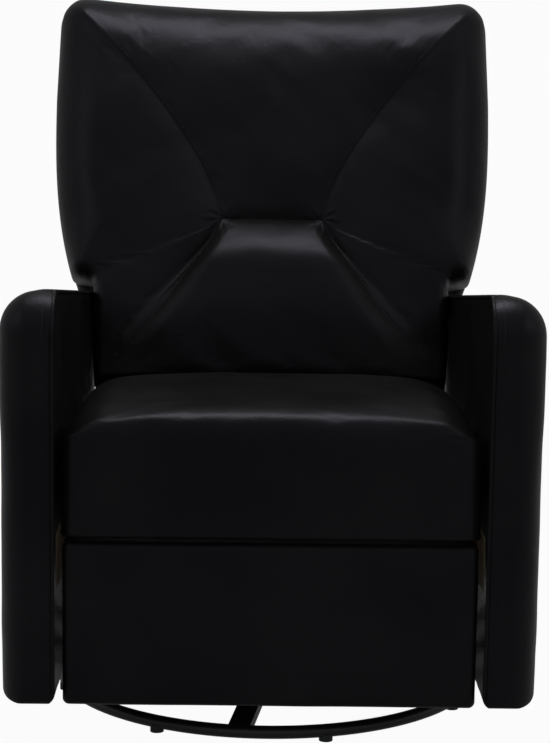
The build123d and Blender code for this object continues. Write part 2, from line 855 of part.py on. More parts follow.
cross_rail_half = rail_x - seat_side_rail_width
with BuildPart() as seat_cross_rails:
    with BuildSketch(Plane.XY.offset(seat_frame_top)):
        with Locations((0, seat_front + front_band_thickness + seat_cross_rail_width / 2)):
            Rectangle(2 * cross_rail_half, seat_cross_rail_width)
    extrude(amount=-seat_front_rail_depth)
    with BuildSketch(Plane.XY.offset(seat_frame_top)):
        with Locations((0, seat_rear - seat_cross_rail_width / 2)):
            Rectangle(2 * cross_rail_half, seat_cross_rail_width)
    extrude(amount=-seat_frame_depth)
write(seat_cross_rails, "seat_cross_rails")

seat_spring_start = seat_front + front_band_thickness + seat_cross_rail_width
seat_spring_length = seat_rear - seat_cross_rail_width - seat_spring_start
seat_spring_height = seat_frame_top - seat_spring_drop
seat_spring_pitch = 2 * cross_rail_half / seat_spring_count
seat_spring_origin = (0, seat_spring_start, seat_spring_height)
seat_spring_plane = Plane(origin=seat_spring_origin, x_dir=(0, 1, 0), z_dir=(0, 0, 1))
seat_spring = sinuous_spring(seat_spring_plane, seat_spring_length)
with BuildPart() as seat_springs:
    with GridLocations(seat_spring_pitch, 1, seat_spring_count, 1):
        add(seat_spring.part)
write(seat_springs, "seat_springs")


def seat_section(y, crest, inset):
    """The seat cushion's section across X: level below, sides drawn in, a crowned top."""
    half = seat_half_width - inset
    shoulder = crest - seat_crown
    waist = (seat_frame_top + shoulder) / 2
    with BuildSketch(Plane.XZ.offset(-y)) as section:
        with BuildLine():
            Line((-half, seat_frame_top), (half, seat_frame_top))
            ThreePointArc((half, seat_frame_top), (half - seat_drawn_in, waist), (half, shoulder))
            ThreePointArc((half, shoulder), (0, crest), (-half, shoulder))
            ThreePointArc((-half, shoulder), (seat_drawn_in - half, waist), (-half, seat_frame_top))
        make_face()
    return section.sketch


with BuildPart() as seat_cushion:
    loft(
        [
            seat_section(seat_front, seat_crest - seat_crest_fall, seat_end_inset),
            seat_section((2 * seat_front + seat_rear) / 3, seat_crest + seat_crest_fall, 0.0),
            seat_section((seat_front + 2 * seat_rear) / 3, seat_crest, 0.0),
            seat_section(seat_rear, seat_rear_crest - seat_crest_fall, seat_end_inset),
        ]
    )
    ends = seat_cushion.faces().sort_by(Axis.Y)
    front_crest = ends[0].edges().sort_by(Axis.Z)[-1]
    rear_crest = ends[-1].edges().sort_by(Axis.Z)[-1]
    fillet([front_crest, rear_crest], radius=seat_edge_radius)
write(seat_cushion, "seat_cushion")

with BuildPart() as seat_front_band:
    with BuildSketch(Plane.XY.offset(front_band_bottom)) as band_sketch:
        with Locations((0, seat_front + front_band_thickness / 2)):
            Rectangle(2 * seat_half_width, front_band_thickness)
        fillet(band_sketch.vertices().sort_by(Axis.Y)[:2], radius=8)
    extrude(amount=seat_frame_top - front_band_bottom)
    fillet(seat_front_band.faces().sort_by(Axis.Z)[0].edges().sort_by(Axis.Y)[0], radius=7)
write(seat_front_band, "seat_front_band")

# ---------------------------------------------------------------- legrest linkage

legrest_drive_links = link_pair(
    [drive_pivot, drive_foot], [drive_pivot, drive_foot, short_foot], drive_x, plate
)
write(legrest_drive_links, "legrest_drive_links")

with BuildPart() as legrest_torque_tube:
    with BuildSketch(Plane.YZ.offset(-drive_x)):
        with Locations(drive_pivot):
            Circle(torque_tube_radius)
            Circle(torque_tube_radius - torque_tube_wall, mode=Mode.SUBTRACT)
    extrude(amount=2 * drive_x)
write(legrest_torque_tube, "legrest_torque_tube")

drive_link_rivets = cross_pins([drive_foot, short_foot], reach_x, drive_x + plate)
write(drive_link_rivets, "drive_link_rivets")


def studded_links(ends, holes, stud, x_inner, stud_from, stud_to):
    """A pair of links, each with a stud that its neighbour turns on."""
    with BuildPart() as links:
        add(link_pair(ends, holes, x_inner, plate).part)
        add(cross_pins([stud], stud_from, stud_to).part)
    return links


legrest_front_links = studded_links(
    [front_pivot, front_foot], [front_pivot], front_foot, drive_x, reach_x, drive_x
)
write(legrest_front_links, "legrest_front_links")

legrest_long_links = studded_links(
    [drive_foot, footrest_pivot],
    [drive_foot, front_foot],
    footrest_pivot,
    reach_x,
    bracket_x,
    reach_x,
)
write(legrest_long_links, "legrest_long_links")

legrest_short_links = studded_links(
    [short_foot, footrest_upper_pivot],
    [short_foot],
    footrest_upper_pivot,
    reach_x,
    bracket_x,
    reach_x,
)
write(legrest_short_links, "legrest_short_links")

footrest_bracket = flat_plate(
    [
        (footrest_pivot[0] + 10.0, footrest_pivot[1] - 14.0),
        (board_front, footrest_pivot[1] - 40.0),
        (board_front, footrest_upper_pivot[1] + 45.0),
        (footrest_upper_pivot[0] + 6.0, footrest_upper_pivot[1] + 16.0),
        (footrest_pivot[0] + 13.0, footrest_pivot[1] + 12.0),
    ],
    bracket_x,
    plate,
    [footrest_pivot, footrest_upper_pivot],
)
with BuildPart() as footrest_brackets:
    add(footrest_bracket.part)
    mirror(about=Plane.YZ)
write(footrest_brackets, "footrest_brackets")

with BuildPart() as footrest_board:
    with BuildSketch(Plane.XY.offset(footrest_bottom + footrest_board_margin)):
        with Locations((0, (board_front + board_rear) / 2)):
            Rectangle(2 * bracket_x, footrest_board_thickness)
    extrude(amount=footrest_top - footrest_bottom - 2 * footrest_board_margin)
write(footrest_board, "footrest_board")


def pad_section(height):
    """The footrest pad's level section: flat behind, sides drawn in, a crowned front."""
    half = footrest_half_width
    corner = footrest_front + footrest_crown
    middle = (board_front + corner) / 2
    with BuildSketch(Plane.XY.offset(height)) as section:
        with BuildLine():
            Line((half, board_front), (-half, board_front))
            ThreePointArc((-half, board_front), (1.5 - half, middle), (-half, corner))
            ThreePointArc((-half, corner), (0, footrest_front), (half, corner))
            ThreePointArc((half, corner), (half - 1.5, middle), (half, board_front))
        make_face()
    return section.sketch


with BuildPart() as footrest_pad:
    pad_middle = (footrest_bottom + footrest_top) / 2
    loft([pad_section(height) for height in (footrest_bottom, pad_middle, footrest_top)])
    pad_front_edges = footrest_pad.faces().sort_by(Axis.Y)[0].edges()
    fillet(pad_front_edges, radius=footrest_edge_radius)
write(footrest_pad, "footrest_pad")

# ---------------------------------------------------------------- back


def back_point(depth, height):
    """A side-view point of the back: depth forwards from its rear face, height up its slope."""
    lean = radians(recline)
    return (
        back_foot[0] + height * sin(lean) - depth * cos(lean),
        back_foot[1] + height * cos(lean) + depth * sin(lean),
    )


def back_level(height):
    """The plane square to the back's slope at a height, its Y axis running rearwards."""
    y, z = back_point(0, height)
    lean = radians(recline)
    return Plane(origin=(0, y, z), x_dir=(1, 0, 0), z_dir=(0, sin(lean), cos(lean)))


def back_face(depth):
    """The plane along the back's slope at a depth, its Y axis running up the slope."""
    y, z = back_point(depth, 0)
    lean = radians(recline)
    return Plane(origin=(0, y, z), x_dir=(1, 0, 0), z_dir=(0, -cos(lean), sin(lean)))


def wing_half(height):
    """Half the back's width above the arms, which grows fast at first and then levels off."""
    rise = min(1.0, max(0.0, (height - shell_wing_foot) / (shell_shoulder - shell_wing_foot)))
    return shell_half_wing + (shell_half_top - shell_half_wing) * (1 - (1 - rise) ** shell_fullness)


def shell_outline(inset):
    """Draw the back's outline: narrow between the arms, then wider, with a hollow top edge."""
    waist = shell_half_waist - inset
    head = shell_height - inset
    wing_foot = shell_wing_foot + inset
    right = [
        (shell_half_bottom - inset, inset),
        (waist, shell_waist_low),
        (waist, shell_waist_high + inset),
        (wing_half(wing_foot) - inset, wing_foot),
    ]
    bends = [wing_foot + part * (shell_shoulder - wing_foot) for part in (0.3, 0.6, 1.0)]
    wing = [right[-1]] + [(wing_half(height) - inset, height) for height in bends]
    corner = (shell_half_top - inset - shell_corner_set, head)
    Polyline(*right)
    Spline(*wing, tangents=((0.3, 1.0), (0.0, 1.0)))
    Line(wing[-1], corner)
    ThreePointArc(corner, (0, head - shell_top_dip), (-corner[0], corner[1]))
    Line((-corner[0], corner[1]), (-wing[-1][0], wing[-1][1]))
    Spline(*[(-x, height) for x, height in reversed(wing)], tangents=((0.0, -1.0), (0.3, -1.0)))
    Polyline(*[(-x, height) for x, height in reversed(right)])
    Line((-right[0][0], right[0][1]), right[0])


with BuildPart() as back_shell:
    with BuildSketch(back_face(0)) as shell_sketch:
        with BuildLine():
            shell_outline(0.0)
        make_face()
        fillet(shell_sketch.vertices().sort_by(Axis.Y)[-2:], radius=shell_corner_radius)
    extrude(amount=shell_depth)
    with BuildSketch(back_face(shell_wall)):
        with BuildLine():
            shell_outline(shell_wall)
        make_face()
    extrude(amount=shell_depth, mode=Mode.SUBTRACT)
    with BuildSketch(back_face(shell_wall)):
        with Locations((0, shell_open_height / 2)):
            Rectangle(3 * shell_half_waist, shell_open_height)
    extrude(amount=shell_depth, mode=Mode.SUBTRACT)
write(back_shell, "back_shell")

with BuildPart() as back_posts:
    with BuildSketch(back_face(shell_wall)):
        for side in (-1, 1):
            with Locations((side * (drive_x - post_width / 2), (post_bottom + post_top) / 2)):
                Rectangle(post_width, post_top - post_bottom)
    extrude(amount=post_depth)
write(back_posts, "back_posts")

back_rail_half = drive_x - post_width
with BuildPart() as back_cross_rails:
    with BuildSketch(back_face(shell_wall)):
        for height in (post_bottom + back_rail_height / 2, post_top - back_rail_height / 2):
            with Locations((0, height)):
                Rectangle(2 * back_rail_half, back_rail_height)
    extrude(amount=post_depth)
write(back_cross_rails, "back_cross_rails")

spring_depth = shell_wall + post_depth / 2
spring_foot = post_bottom + back_rail_height
back_spring_origin = (0, *back_point(spring_depth, spring_foot))
back_spring_length = post_top - back_rail_height - spring_foot
back_spring_plane = Plane(
    origin=back_spring_origin,
    x_dir=back_level(0).z_dir,
    z_dir=back_face(0).z_dir,
)
back_spring = sinuous_spring(back_spring_plane, back_spring_length)
with BuildPart() as back_springs:
    with GridLocations(2 * back_rail_half / back_spring_count, 1, back_spring_count, 1):
        add(back_spring.part)
write(back_springs, "back_springs")

bracket_depth = shell_wall + post_depth
hinge_depth = (back_foot[0] - hinge_y) * cos(radians(recline)) + (hinge_z - back_foot[1]) * sin(
    radians(recline)
)
hinge_rise = (hinge_y - back_foot[0]) * sin(radians(recline)) + (hinge_z - back_foot[1]) * cos(
    radians(recline)
)
back_bracket = flat_plate(
    [
        back_point(shell_wall, post_bottom),
        back_point(hinge_depth + bracket_lug, post_bottom),
        back_point(hinge_depth + bracket_lug, hinge_rise + bracket_lug),
        back_point(bracket_depth + bracket_neck, hinge_rise + 2 * bracket_lug),
        back_point(bracket_depth, bracket_height),
        back_point(shell_wall, bracket_height),
    ],
    drive_x,
    plate,
    [back_hinge],
)
with BuildPart() as back_brackets:
    add(back_bracket.part)
    mirror(about=Plane.YZ)
write(back_brackets, "back_brackets")


def tuft_fraction(height):
    """How far a height lies from the level seam, 0 there and 1 at the cushion's end."""
    end = cushion_top if height > tuft_height else cushion_bottom
    return abs(height - tuft_height) / abs(end - tuft_height)


def cushion_section(height):
    """The back cushion's section at a height: three crowned panels that meet at the seams."""
    part = tuft_fraction(height)
    upper = height > tuft_height
    if height > cushion_wing_foot:
        half = wing_half(height) - cushion_margin
    elif height > cushion_waist:
        rise = (height - cushion_waist) / (cushion_wing_foot - cushion_waist)
        half = cushion_side + (wing_half(cushion_wing_foot) - cushion_margin - cushion_side) * rise
    else:
        half = cushion_side - cushion_taper * (cushion_waist - height)
    edge_side = cushion_top_side if upper else cushion_bottom_side
    edge_seam = edge_side + cushion_seam_rise
    edge_middle = cushion_top_middle if upper else cushion_bottom_middle
    side = cushion_side_depth + (edge_side - cushion_side_depth) * part**3
    seam = tuft_depth + (edge_seam - tuft_depth) * part
    seam_x = tuft_half_length + (half - cushion_seam_margin - tuft_half_length) * part
    base = tuft_depth + (edge_middle - tuft_depth) * part
    middle = base + cushion_puff * sin(pi * part) ** 0.6
    bulge = cushion_side_puff * (half - seam_x)
    between = (half + seam_x) / 2
    with BuildSketch(back_level(height)) as section:
        with BuildLine():
            Line((half, -shell_depth), (-half, -shell_depth))
            Line((-half, -shell_depth), (-half, -side))
            ThreePointArc((-half, -side), (-between, -(side + seam) / 2 - bulge), (-seam_x, -seam))
            ThreePointArc((-seam_x, -seam), (0, -middle - least_bow), (seam_x, -seam))
            ThreePointArc((seam_x, -seam), (between, -(side + seam) / 2 - bulge), (half, -side))
            Line((half, -side), (half, -shell_depth))
        make_face()
    return section.sketch


cushion_wing_foot = cushion_waist + 0.32 * (tuft_height - cushion_waist)

# The cushion widens in one straight step over the arms. The level seam is the crease where
# the lower and the upper half meet.
with BuildPart() as back_cushion:
    belly = [
        cushion_bottom + part * (cushion_waist - cushion_bottom)
        for part in (0.0, 0.08, 0.22, 0.45, 0.7, 1.0)
    ]
    loft([cushion_section(height) for height in belly])
    loft([cushion_section(height) for height in (cushion_waist, cushion_wing_foot)])
    wing = [
        cushion_wing_foot + part * (tuft_height - cushion_wing_foot) for part in (0.0, 0.45, 1.0)
    ]
    loft([cushion_section(height) for height in wing])
    upper = [
        tuft_height + part * (cushion_top - tuft_height)
        for part in (0.0, 0.09, 0.27, 0.53, 0.79, 0.93, 1.0)
    ]
    loft([cushion_section(height) for height in upper])
write(back_cushion, "back_cushion")
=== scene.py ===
"""A swivel glider recliner in black leather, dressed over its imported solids."""

import json

import bpy
import numpy as np
from mathutils import Euler, Matrix, Vector

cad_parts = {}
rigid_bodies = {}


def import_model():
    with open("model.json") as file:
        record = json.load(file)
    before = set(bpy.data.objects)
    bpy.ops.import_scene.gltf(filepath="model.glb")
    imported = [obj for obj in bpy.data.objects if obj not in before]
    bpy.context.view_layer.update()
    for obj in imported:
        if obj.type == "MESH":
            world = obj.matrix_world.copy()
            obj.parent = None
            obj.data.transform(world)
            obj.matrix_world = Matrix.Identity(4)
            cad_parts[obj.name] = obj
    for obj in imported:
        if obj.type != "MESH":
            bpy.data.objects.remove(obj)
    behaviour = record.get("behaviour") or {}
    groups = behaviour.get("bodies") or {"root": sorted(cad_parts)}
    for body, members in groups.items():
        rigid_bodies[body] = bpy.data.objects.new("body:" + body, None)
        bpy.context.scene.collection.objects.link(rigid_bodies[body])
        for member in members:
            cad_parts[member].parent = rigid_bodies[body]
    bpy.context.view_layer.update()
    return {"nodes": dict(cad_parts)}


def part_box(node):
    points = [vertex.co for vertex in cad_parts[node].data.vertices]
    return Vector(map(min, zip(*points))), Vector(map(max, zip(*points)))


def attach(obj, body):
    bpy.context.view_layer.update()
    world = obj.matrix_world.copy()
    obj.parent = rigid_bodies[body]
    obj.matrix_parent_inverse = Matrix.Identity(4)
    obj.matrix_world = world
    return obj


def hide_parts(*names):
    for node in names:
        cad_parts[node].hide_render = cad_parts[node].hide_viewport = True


for leftover in list(bpy.data.objects):
    bpy.data.objects.remove(leftover)
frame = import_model()

bl_info = {
    "name": "Swivel Glider Recliner",
    "version": (1, 0, 0),
    "blender": (4, 5, 0),
    "location": "3D View > Sidebar > Recliner",
    "description": "Builds the upholstery, finishes and studio of a swivel glider recliner",
    "category": "Add Mesh",
}


# ---------------------------------------------------------------- settings


class ReclinerShape(bpy.types.PropertyGroup):
    """Sizes of the upholstery that the solids leave open."""

    outer_round: bpy.props.FloatProperty(
        name="Arm outer rounding", description="Radius of the arm's outer front and top edges",
        default=0.052, unit="LENGTH",
    )
    inner_round: bpy.props.FloatProperty(
        name="Arm inner rounding", description="Radius of the arm's inner edges",
        default=0.009, unit="LENGTH",
    )
    roll_radius: bpy.props.FloatProperty(
        name="Arm roll", description="Radius where the arm's front turns over into its top",
        default=0.058, unit="LENGTH",
    )
    heel_radius: bpy.props.FloatProperty(
        name="Arm heel", description="Radius where the arm's top turns down at the rear",
        default=0.026, unit="LENGTH",
    )
    foot_round: bpy.props.FloatProperty(
        name="Arm foot rounding", description="Radius of the arm's edges at the foot",
        default=0.014, unit="LENGTH",
    )
    welt_radius: bpy.props.FloatProperty(
        name="Welt", description="Radius of the piping cord", default=0.0028, unit="LENGTH",
    )
    stitch_length: bpy.props.FloatProperty(
        name="Stitch", description="Length of one topstitch", default=0.0042, unit="LENGTH",
    )
    stitch_gap: bpy.props.FloatProperty(
        name="Stitch gap", description="Gap between two topstitches", default=0.0016, unit="LENGTH",
    )
    thread_radius: bpy.props.FloatProperty(
        name="Thread", description="Radius of the sewing thread", default=0.00042, unit="LENGTH",
    )
    recline: bpy.props.FloatProperty(
        name="Back lean", description="Lean of the upright back from the vertical",
        default=0.296706, subtype="ANGLE",
    )
    back_foot_y: bpy.props.FloatProperty(
        name="Back foot, depth", description="Where the back's rear face starts, along Y",
        default=0.2275, unit="LENGTH",
    )
    back_foot_z: bpy.props.FloatProperty(
        name="Back foot, height", description="Where the back's rear face starts, along Z",
        default=0.345, unit="LENGTH",
    )
    arm_front_height: bpy.props.FloatProperty(
        name="Arm height, front", description="Height of the arm's top line at the arm's front",
        default=0.656, unit="LENGTH",
    )
    arm_rear_height: bpy.props.FloatProperty(
        name="Arm height, rear", description="Height of the arm's top line at the arm's rear",
        default=0.577, unit="LENGTH",
    )
    waist: bpy.props.FloatProperty(
        name="Back waist", description="Half the back's width between the arms",
        default=0.2972, unit="LENGTH",
    )
    wing_foot: bpy.props.FloatProperty(
        name="Wing foot", description="Height up the slope at which the back widens over the arms",
        default=0.214, unit="LENGTH",
    )
    wing_half: bpy.props.FloatProperty(
        name="Wing", description="Half the back's width at the foot of its wings",
        default=0.325, unit="LENGTH",
    )
    wing_shoulder: bpy.props.FloatProperty(
        name="Shoulder", description="Height up the slope at which the back is at its widest",
        default=0.560, unit="LENGTH",
    )
    top_dip: bpy.props.FloatProperty(
        name="Top dip", description="How far the back's top edge hollows in its middle",
        default=0.016, unit="LENGTH",
    )
    tuft_half: bpy.props.FloatProperty(
        name="Level seam", description="Half the length of the back's level seam",
        default=0.083, unit="LENGTH",
    )
    tuft_height: bpy.props.FloatProperty(
        name="Level seam height", description="Height of the level seam up the back's slope",
        default=0.340, unit="LENGTH",
    )
    tuft_depth: bpy.props.FloatProperty(
        name="Level seam depth", description="How far the level seam stands before the back's rear face",
        default=0.128, unit="LENGTH",
    )
    back_crest: bpy.props.FloatProperty(
        name="Back fullness", description="How far the upper panels' crests stand before the rear face",
        default=0.152, unit="LENGTH",
    )
    lumbar_crest: bpy.props.FloatProperty(
        name="Lumbar fullness", description="How far the lower panel stands before the rear face",
        default=0.182, unit="LENGTH",
    )


class ReclinerFinish(bpy.types.PropertyGroup):
    """Colours and surface of the finishes."""

    leather: bpy.props.FloatVectorProperty(
        name="Leather", description="Colour of the leather", subtype="COLOR", size=3,
        default=(0.0064, 0.0062, 0.0060), min=0.0, max=1.0,
    )
    leather_roughness: bpy.props.FloatProperty(
        name="Leather roughness", description="Roughness of the leather's grain", default=0.27,
        min=0.0, max=1.0,
    )
    grain: bpy.props.FloatProperty(
        name="Grain", description="Cells of the leather's grain per metre", default=620.0,
    )
    thread: bpy.props.FloatVectorProperty(
        name="Thread", description="Colour of the sewing thread", subtype="COLOR", size=3,
        default=(0.005, 0.005, 0.0062), min=0.0, max=1.0,
    )
    paint: bpy.props.FloatVectorProperty(
        name="Powder coat", description="Colour of the painted steel", subtype="COLOR", size=3,
        default=(0.009, 0.009, 0.010), min=0.0, max=1.0,
    )
    zinc: bpy.props.FloatVectorProperty(
        name="Zinc", description="Colour of the plated mechanism", subtype="COLOR", size=3,
        default=(0.30, 0.30, 0.31), min=0.0, max=1.0,
    )
    steel: bpy.props.FloatVectorProperty(
        name="Bright steel", description="Colour of the pins and springs", subtype="COLOR", size=3,
        default=(0.56, 0.57, 0.58), min=0.0, max=1.0,
    )
    wood: bpy.props.FloatVectorProperty(
        name="Frame wood", description="Colour of the frame's boards", subtype="COLOR", size=3,
        default=(0.52, 0.37, 0.22), min=0.0, max=1.0,
    )
    plastic: bpy.props.FloatVectorProperty(
        name="Plastic", description="Colour of the moulded plastic", subtype="COLOR", size=3,
        default=(0.012, 0.012, 0.013), min=0.0, max=1.0,
    )


class ReclinerStudio(bpy.types.PropertyGroup):
    """The camera and the light."""

    camera_place: bpy.props.FloatVectorProperty(
        name="Camera", description="Where the camera stands", subtype="TRANSLATION", unit="LENGTH",
        size=3, default=(-0.0240, -3.1000, 0.9549),
    )
    pitch: bpy.props.FloatProperty(
        name="Pitch", description="How far the camera looks down", subtype="ANGLE", default=0.151299,
    )
    yaw: bpy.props.FloatProperty(
        name="Yaw", description="How far the camera turns to the right", subtype="ANGLE",
        default=0.009900,
    )
    roll: bpy.props.FloatProperty(
        name="Roll", description="How far the camera tilts anticlockwise", subtype="ANGLE",
        default=0.013528,
    )
    focal: bpy.props.FloatProperty(
        name="Focal length", description="Focal length over the picture's height", default=2.6760,
    )
    backdrop: bpy.props.FloatVectorProperty(
        name="Backdrop", description="Colour of the floor and backdrop", subtype="COLOR", size=3,
        default=(0.40, 0.40, 0.40), min=0.0, max=1.0,
    )
    glow: bpy.props.FloatProperty(
        name="Glow", description="Share of plain white that the camera sees in the backdrop",
        default=0.96, min=0.0, max=1.0,
    )
    mirrored_glow: bpy.props.FloatProperty(
        name="Mirrored glow", description="Share of plain white that gloss and glass see in the backdrop",
        default=0.16, min=0.0, max=1.0,
    )
    ambient: bpy.props.FloatProperty(
        name="Ambient", description="Strength of the even light from all sides", default=0.42,
    )
    key: bpy.props.FloatProperty(
        name="Key", description="Power of the overhead soft box in watts", default=30.0,
    )
    fill: bpy.props.FloatProperty(
        name="Fill", description="Power of each side soft box in watts", default=5.0,
    )


# ---------------------------------------------------------------- numbers on grids


def ease(t):
    """Smooth step: 0 up to 0, 1 from 1, and 3 t^2 - 2 t^3 between."""
    t = np.clip(t, 0.0, 1.0)
    return t * t * (3.0 - 2.0 * t)


def round_drop(distance, radius):
    """Drop of a rounded edge: radius less the height of a circle at that distance from the edge."""
    inside = np.clip(radius - distance, 0.0, radius)
    return radius - np.sqrt(np.maximum(radius**2 - inside**2, 0.0))


def join_round(first, second, radius):
    """Distance inside two edges that meet in a rounded corner: the nearer edge, less the corner's arc."""
    corner = np.hypot(np.maximum(radius - first, 0.0), np.maximum(radius - second, 0.0))
    return np.maximum(radius, np.minimum(first, second)) - corner


def ripple(points, pitch, seed):
    """Even lumps about one pitch across: the mean of 12 sine waves in seeded directions."""
    random = np.random.default_rng(seed)
    waves = random.normal(size=(12, 3))
    waves /= np.linalg.norm(waves, axis=1, keepdims=True)
    waves *= 2 * np.pi / (pitch * random.uniform(0.7, 1.5, (12, 1)))
    phase = random.uniform(0, 2 * np.pi, 12)
    return np.sin(points @ waves.T + phase).mean(-1) * 1.6


def path_lengths(path):
    """Length along a path at each of its points."""
    steps = np.linalg.norm(np.diff(path, axis=0), axis=1)
    return np.concatenate([[0.0], np.cumsum(steps)])


def resample(path, count, closed=False):
    """A path's points again, at even steps along its length."""
    if closed:
        path = np.vstack([path, path[:1]])
    along = path_lengths(path)
    places = np.linspace(0.0, along[-1], count, endpoint=not closed)
    return np.stack([np.interp(places, along, path[:, axis]) for axis in range(path.shape[1])], 1)


def rounded_outline(corners, radii, count):
    """A closed outline with rounded corners: each corner gives way to an arc tangent to both sides."""
    corners = np.asarray(corners, float)
    before = np.roll(corners, 1, 0) - corners
    after = np.roll(corners, -1, 0) - corners
    before /= np.linalg.norm(before, axis=1, keepdims=True)
    after /= np.linalg.norm(after, axis=1, keepdims=True)
    half = np.arccos(np.clip((before * after).sum(1), -1, 1)) / 2
    radii = np.asarray(radii, float)
    bisector = before + after
    bisector /= np.linalg.norm(bisector, axis=1, keepdims=True)
    centres = corners + bisector * (radii / np.sin(half))[:, None]
    start = corners + before * (radii / np.tan(half))[:, None]
    end = corners + after * (radii / np.tan(half))[:, None]
    turn = np.linspace(0, 1, 24)[None, :, None]
    arc = start[:, None] * (1 - turn) + end[:, None] * turn - centres[:, None]
    arc *= radii[:, None, None] / np.maximum(np.linalg.norm(arc, axis=2, keepdims=True), 1e-12)
    return resample((arc + centres[:, None]).reshape(-1, 2), count, closed=True)


def grid_quads(rows, columns, wrap_rows=False, wrap_columns=False):
    """The quads of a grid: each joins a point, the next in its row and the two after them."""
    row = np.arange(rows if wrap_rows else rows - 1)[:, None]
    column = np.arange(columns if wrap_columns else columns - 1)[None, :]
    next_row = (row + 1) % rows
    next_column = (column + 1) % columns
    quads = (
        row * columns + column, row * columns + next_column,
        next_row * columns + next_column, next_row * columns + column,
    )
    return np.stack([np.broadcast_to(q, quads[0].shape) for q in quads], -1).reshape(-1, 4)


def weld(points, quads):
    """Merge equal points, and return the points, quads, triangles and each old point's new number."""
    keys = np.round(points / 2e-6).astype(np.int64)
    _, first, inverse = np.unique(keys, axis=0, return_index=True, return_inverse=True)
    inverse = inverse.reshape(-1)
    faces = inverse[quads]
    same = faces == np.roll(faces, -1, axis=1)
    whole = faces[~same.any(1)]
    pinched = faces[same.sum(1) == 1]
    keep = ~same[same.sum(1) == 1]
    triangles = pinched[keep].reshape(-1, 3)
    return points[first], whole, triangles, inverse


def volume(points, quads, triangles):
    """Signed volume inside the faces: a sixth of the sum of each corner triple's product."""
    parts = [triangles, quads[:, [0, 1, 2]], quads[:, [0, 2, 3]]]
    corners = (points - points.mean(0))[np.concatenate(parts)]
    return np.einsum("ij,ij->i", corners[:, 0], np.cross(corners[:, 1], corners[:, 2])).sum() / 6


def mesh_piece(name, points, quads, material, attributes=None, caps=()):
    """A smooth mesh from points and quads, welded, with its faces outwards. Returns it and its numbering.

    Each cap is a loop of points that closes an end with one flat face.
    """
    points, quads, triangles, numbers = weld(np.asarray(points, float).reshape(-1, 3), quads)
    caps = [numbers[cap] for cap in caps]
    if volume(points, quads, triangles) < 0:
        quads = quads[:, ::-1]
        triangles = triangles[:, ::-1]
        caps = [cap[::-1] for cap in caps]
    mesh = bpy.data.meshes.new(name)
    loops = np.concatenate([quads.reshape(-1), triangles.reshape(-1), *caps]).astype(np.int32)
    sizes = [np.full(len(quads), 4), np.full(len(triangles), 3), [len(cap) for cap in caps]]
    sizes = np.concatenate(sizes).astype(np.int32)
    mesh.vertices.add(len(points))
    mesh.vertices.foreach_set("co", points.astype(np.float32).reshape(-1))
    mesh.loops.add(len(loops))
    mesh.loops.foreach_set("vertex_index", loops)
    mesh.polygons.add(len(sizes))
    starts = np.concatenate([[0], np.cumsum(sizes)[:-1]]).astype(np.int32)
    mesh.polygons.foreach_set("loop_start", starts)
    mesh.polygons.foreach_set("loop_total", sizes)
    mesh.polygons.foreach_set("use_smooth", np.ones(len(sizes), bool))
    mesh.update(calc_edges=True)
    mesh.validate()
    for key, values in (attributes or {}).items():
        spread = np.zeros(len(points), np.float32)
        spread[numbers] = np.asarray(values, np.float32).reshape(-1)
        mesh.attributes.new(key, "FLOAT", "POINT").data.foreach_set("value", spread)
    mesh.materials.append(material)
    piece = bpy.data.objects.new(name, mesh)
    bpy.context.scene.collection.objects.link(piece)
    return piece, numbers


def frames_along(path, facing, closed=False):
    """Unit directions along a path, to its side and up, the last one as near to facing as can be."""
    if closed:
        along = np.roll(path, -1, 0) - np.roll(path, 1, 0)
    else:
        along = np.gradient(path, axis=0)
    along /= np.linalg.norm(along, axis=1, keepdims=True)
    facing = np.broadcast_to(np.asarray(facing, float), path.shape)
    side = np.cross(along, facing)
    side /= np.linalg.norm(side, axis=1, keepdims=True)
    return along, side, np.cross(side, along)


def tube(name, path, radius, facing, material, sides=10, closed=False):
    """A cord along a path: a circle of that radius square to the path at each point."""
    _, side, up = frames_along(path, facing, closed)
    turn = np.arange(sides) * 2 * np.pi / sides
    circle = np.cos(turn)[None, :, None] * side[:, None] + np.sin(turn)[None, :, None] * up[:, None]
    points = path[:, None] + radius * circle
    if not closed:
        ends = [np.repeat(path[i][None, None], sides, 1) for i in (0, -1)]
        points = np.concatenate([ends[0], points, ends[1]], 0)
    quads = grid_quads(len(points), sides, wrap_rows=closed, wrap_columns=True)
    return mesh_piece(name, points, quads, material)[0]


def stitches(name, paths, facings, material):
    """Topstitches along paths: short threads at an even pitch, each an arc that dips in at its ends."""
    shape = bpy.context.scene.recliner_shape
    pitch = shape.stitch_length + shape.stitch_gap
    sides = 6
    rings = np.linspace(-1, 1, 6)
    turn = np.arange(sides) * 2 * np.pi / sides
    thin = np.sqrt(np.maximum(1 - np.abs(rings) ** 6, 0.02))
    length = rings * shape.stitch_length / 2
    rise = -0.0006 * rings**4
    every = []
    for path, facing in zip(paths, facings):
        count = max(int(path_lengths(path)[-1] / pitch), 3)
        normals = np.broadcast_to(np.asarray(facing, float), path.shape)
        both = resample(np.hstack([path, normals]), count)
        along, side, up = frames_along(both[:, :3], both[:, 3:])
        local = np.stack(
            [
                np.broadcast_to(length[:, None], (6, sides)),
                shape.thread_radius * thin[:, None] * np.cos(turn)[None, :],
                rise[:, None] + shape.thread_radius * thin[:, None] * np.sin(turn)[None, :],
            ],
            -1,
        )
        axes = np.stack([along, side, up], 1)
        every.append(both[:, None, None, :3] + np.einsum("rsk,nkj->nrsj", local, axes))
    points = np.concatenate(every, 0)
    one = grid_quads(6, sides, wrap_columns=True)
    quads = (one[None] + (np.arange(len(points)) * 6 * sides)[:, None, None]).reshape(-1, 4)
    return mesh_piece(name, points, quads, material)[0]


def coordinates(piece):
    """A piece's points as an array."""
    values = np.zeros(len(piece.data.vertices) * 3, np.float32)
    piece.data.vertices.foreach_get("co", values)
    return values.reshape(-1, 3).astype(float)


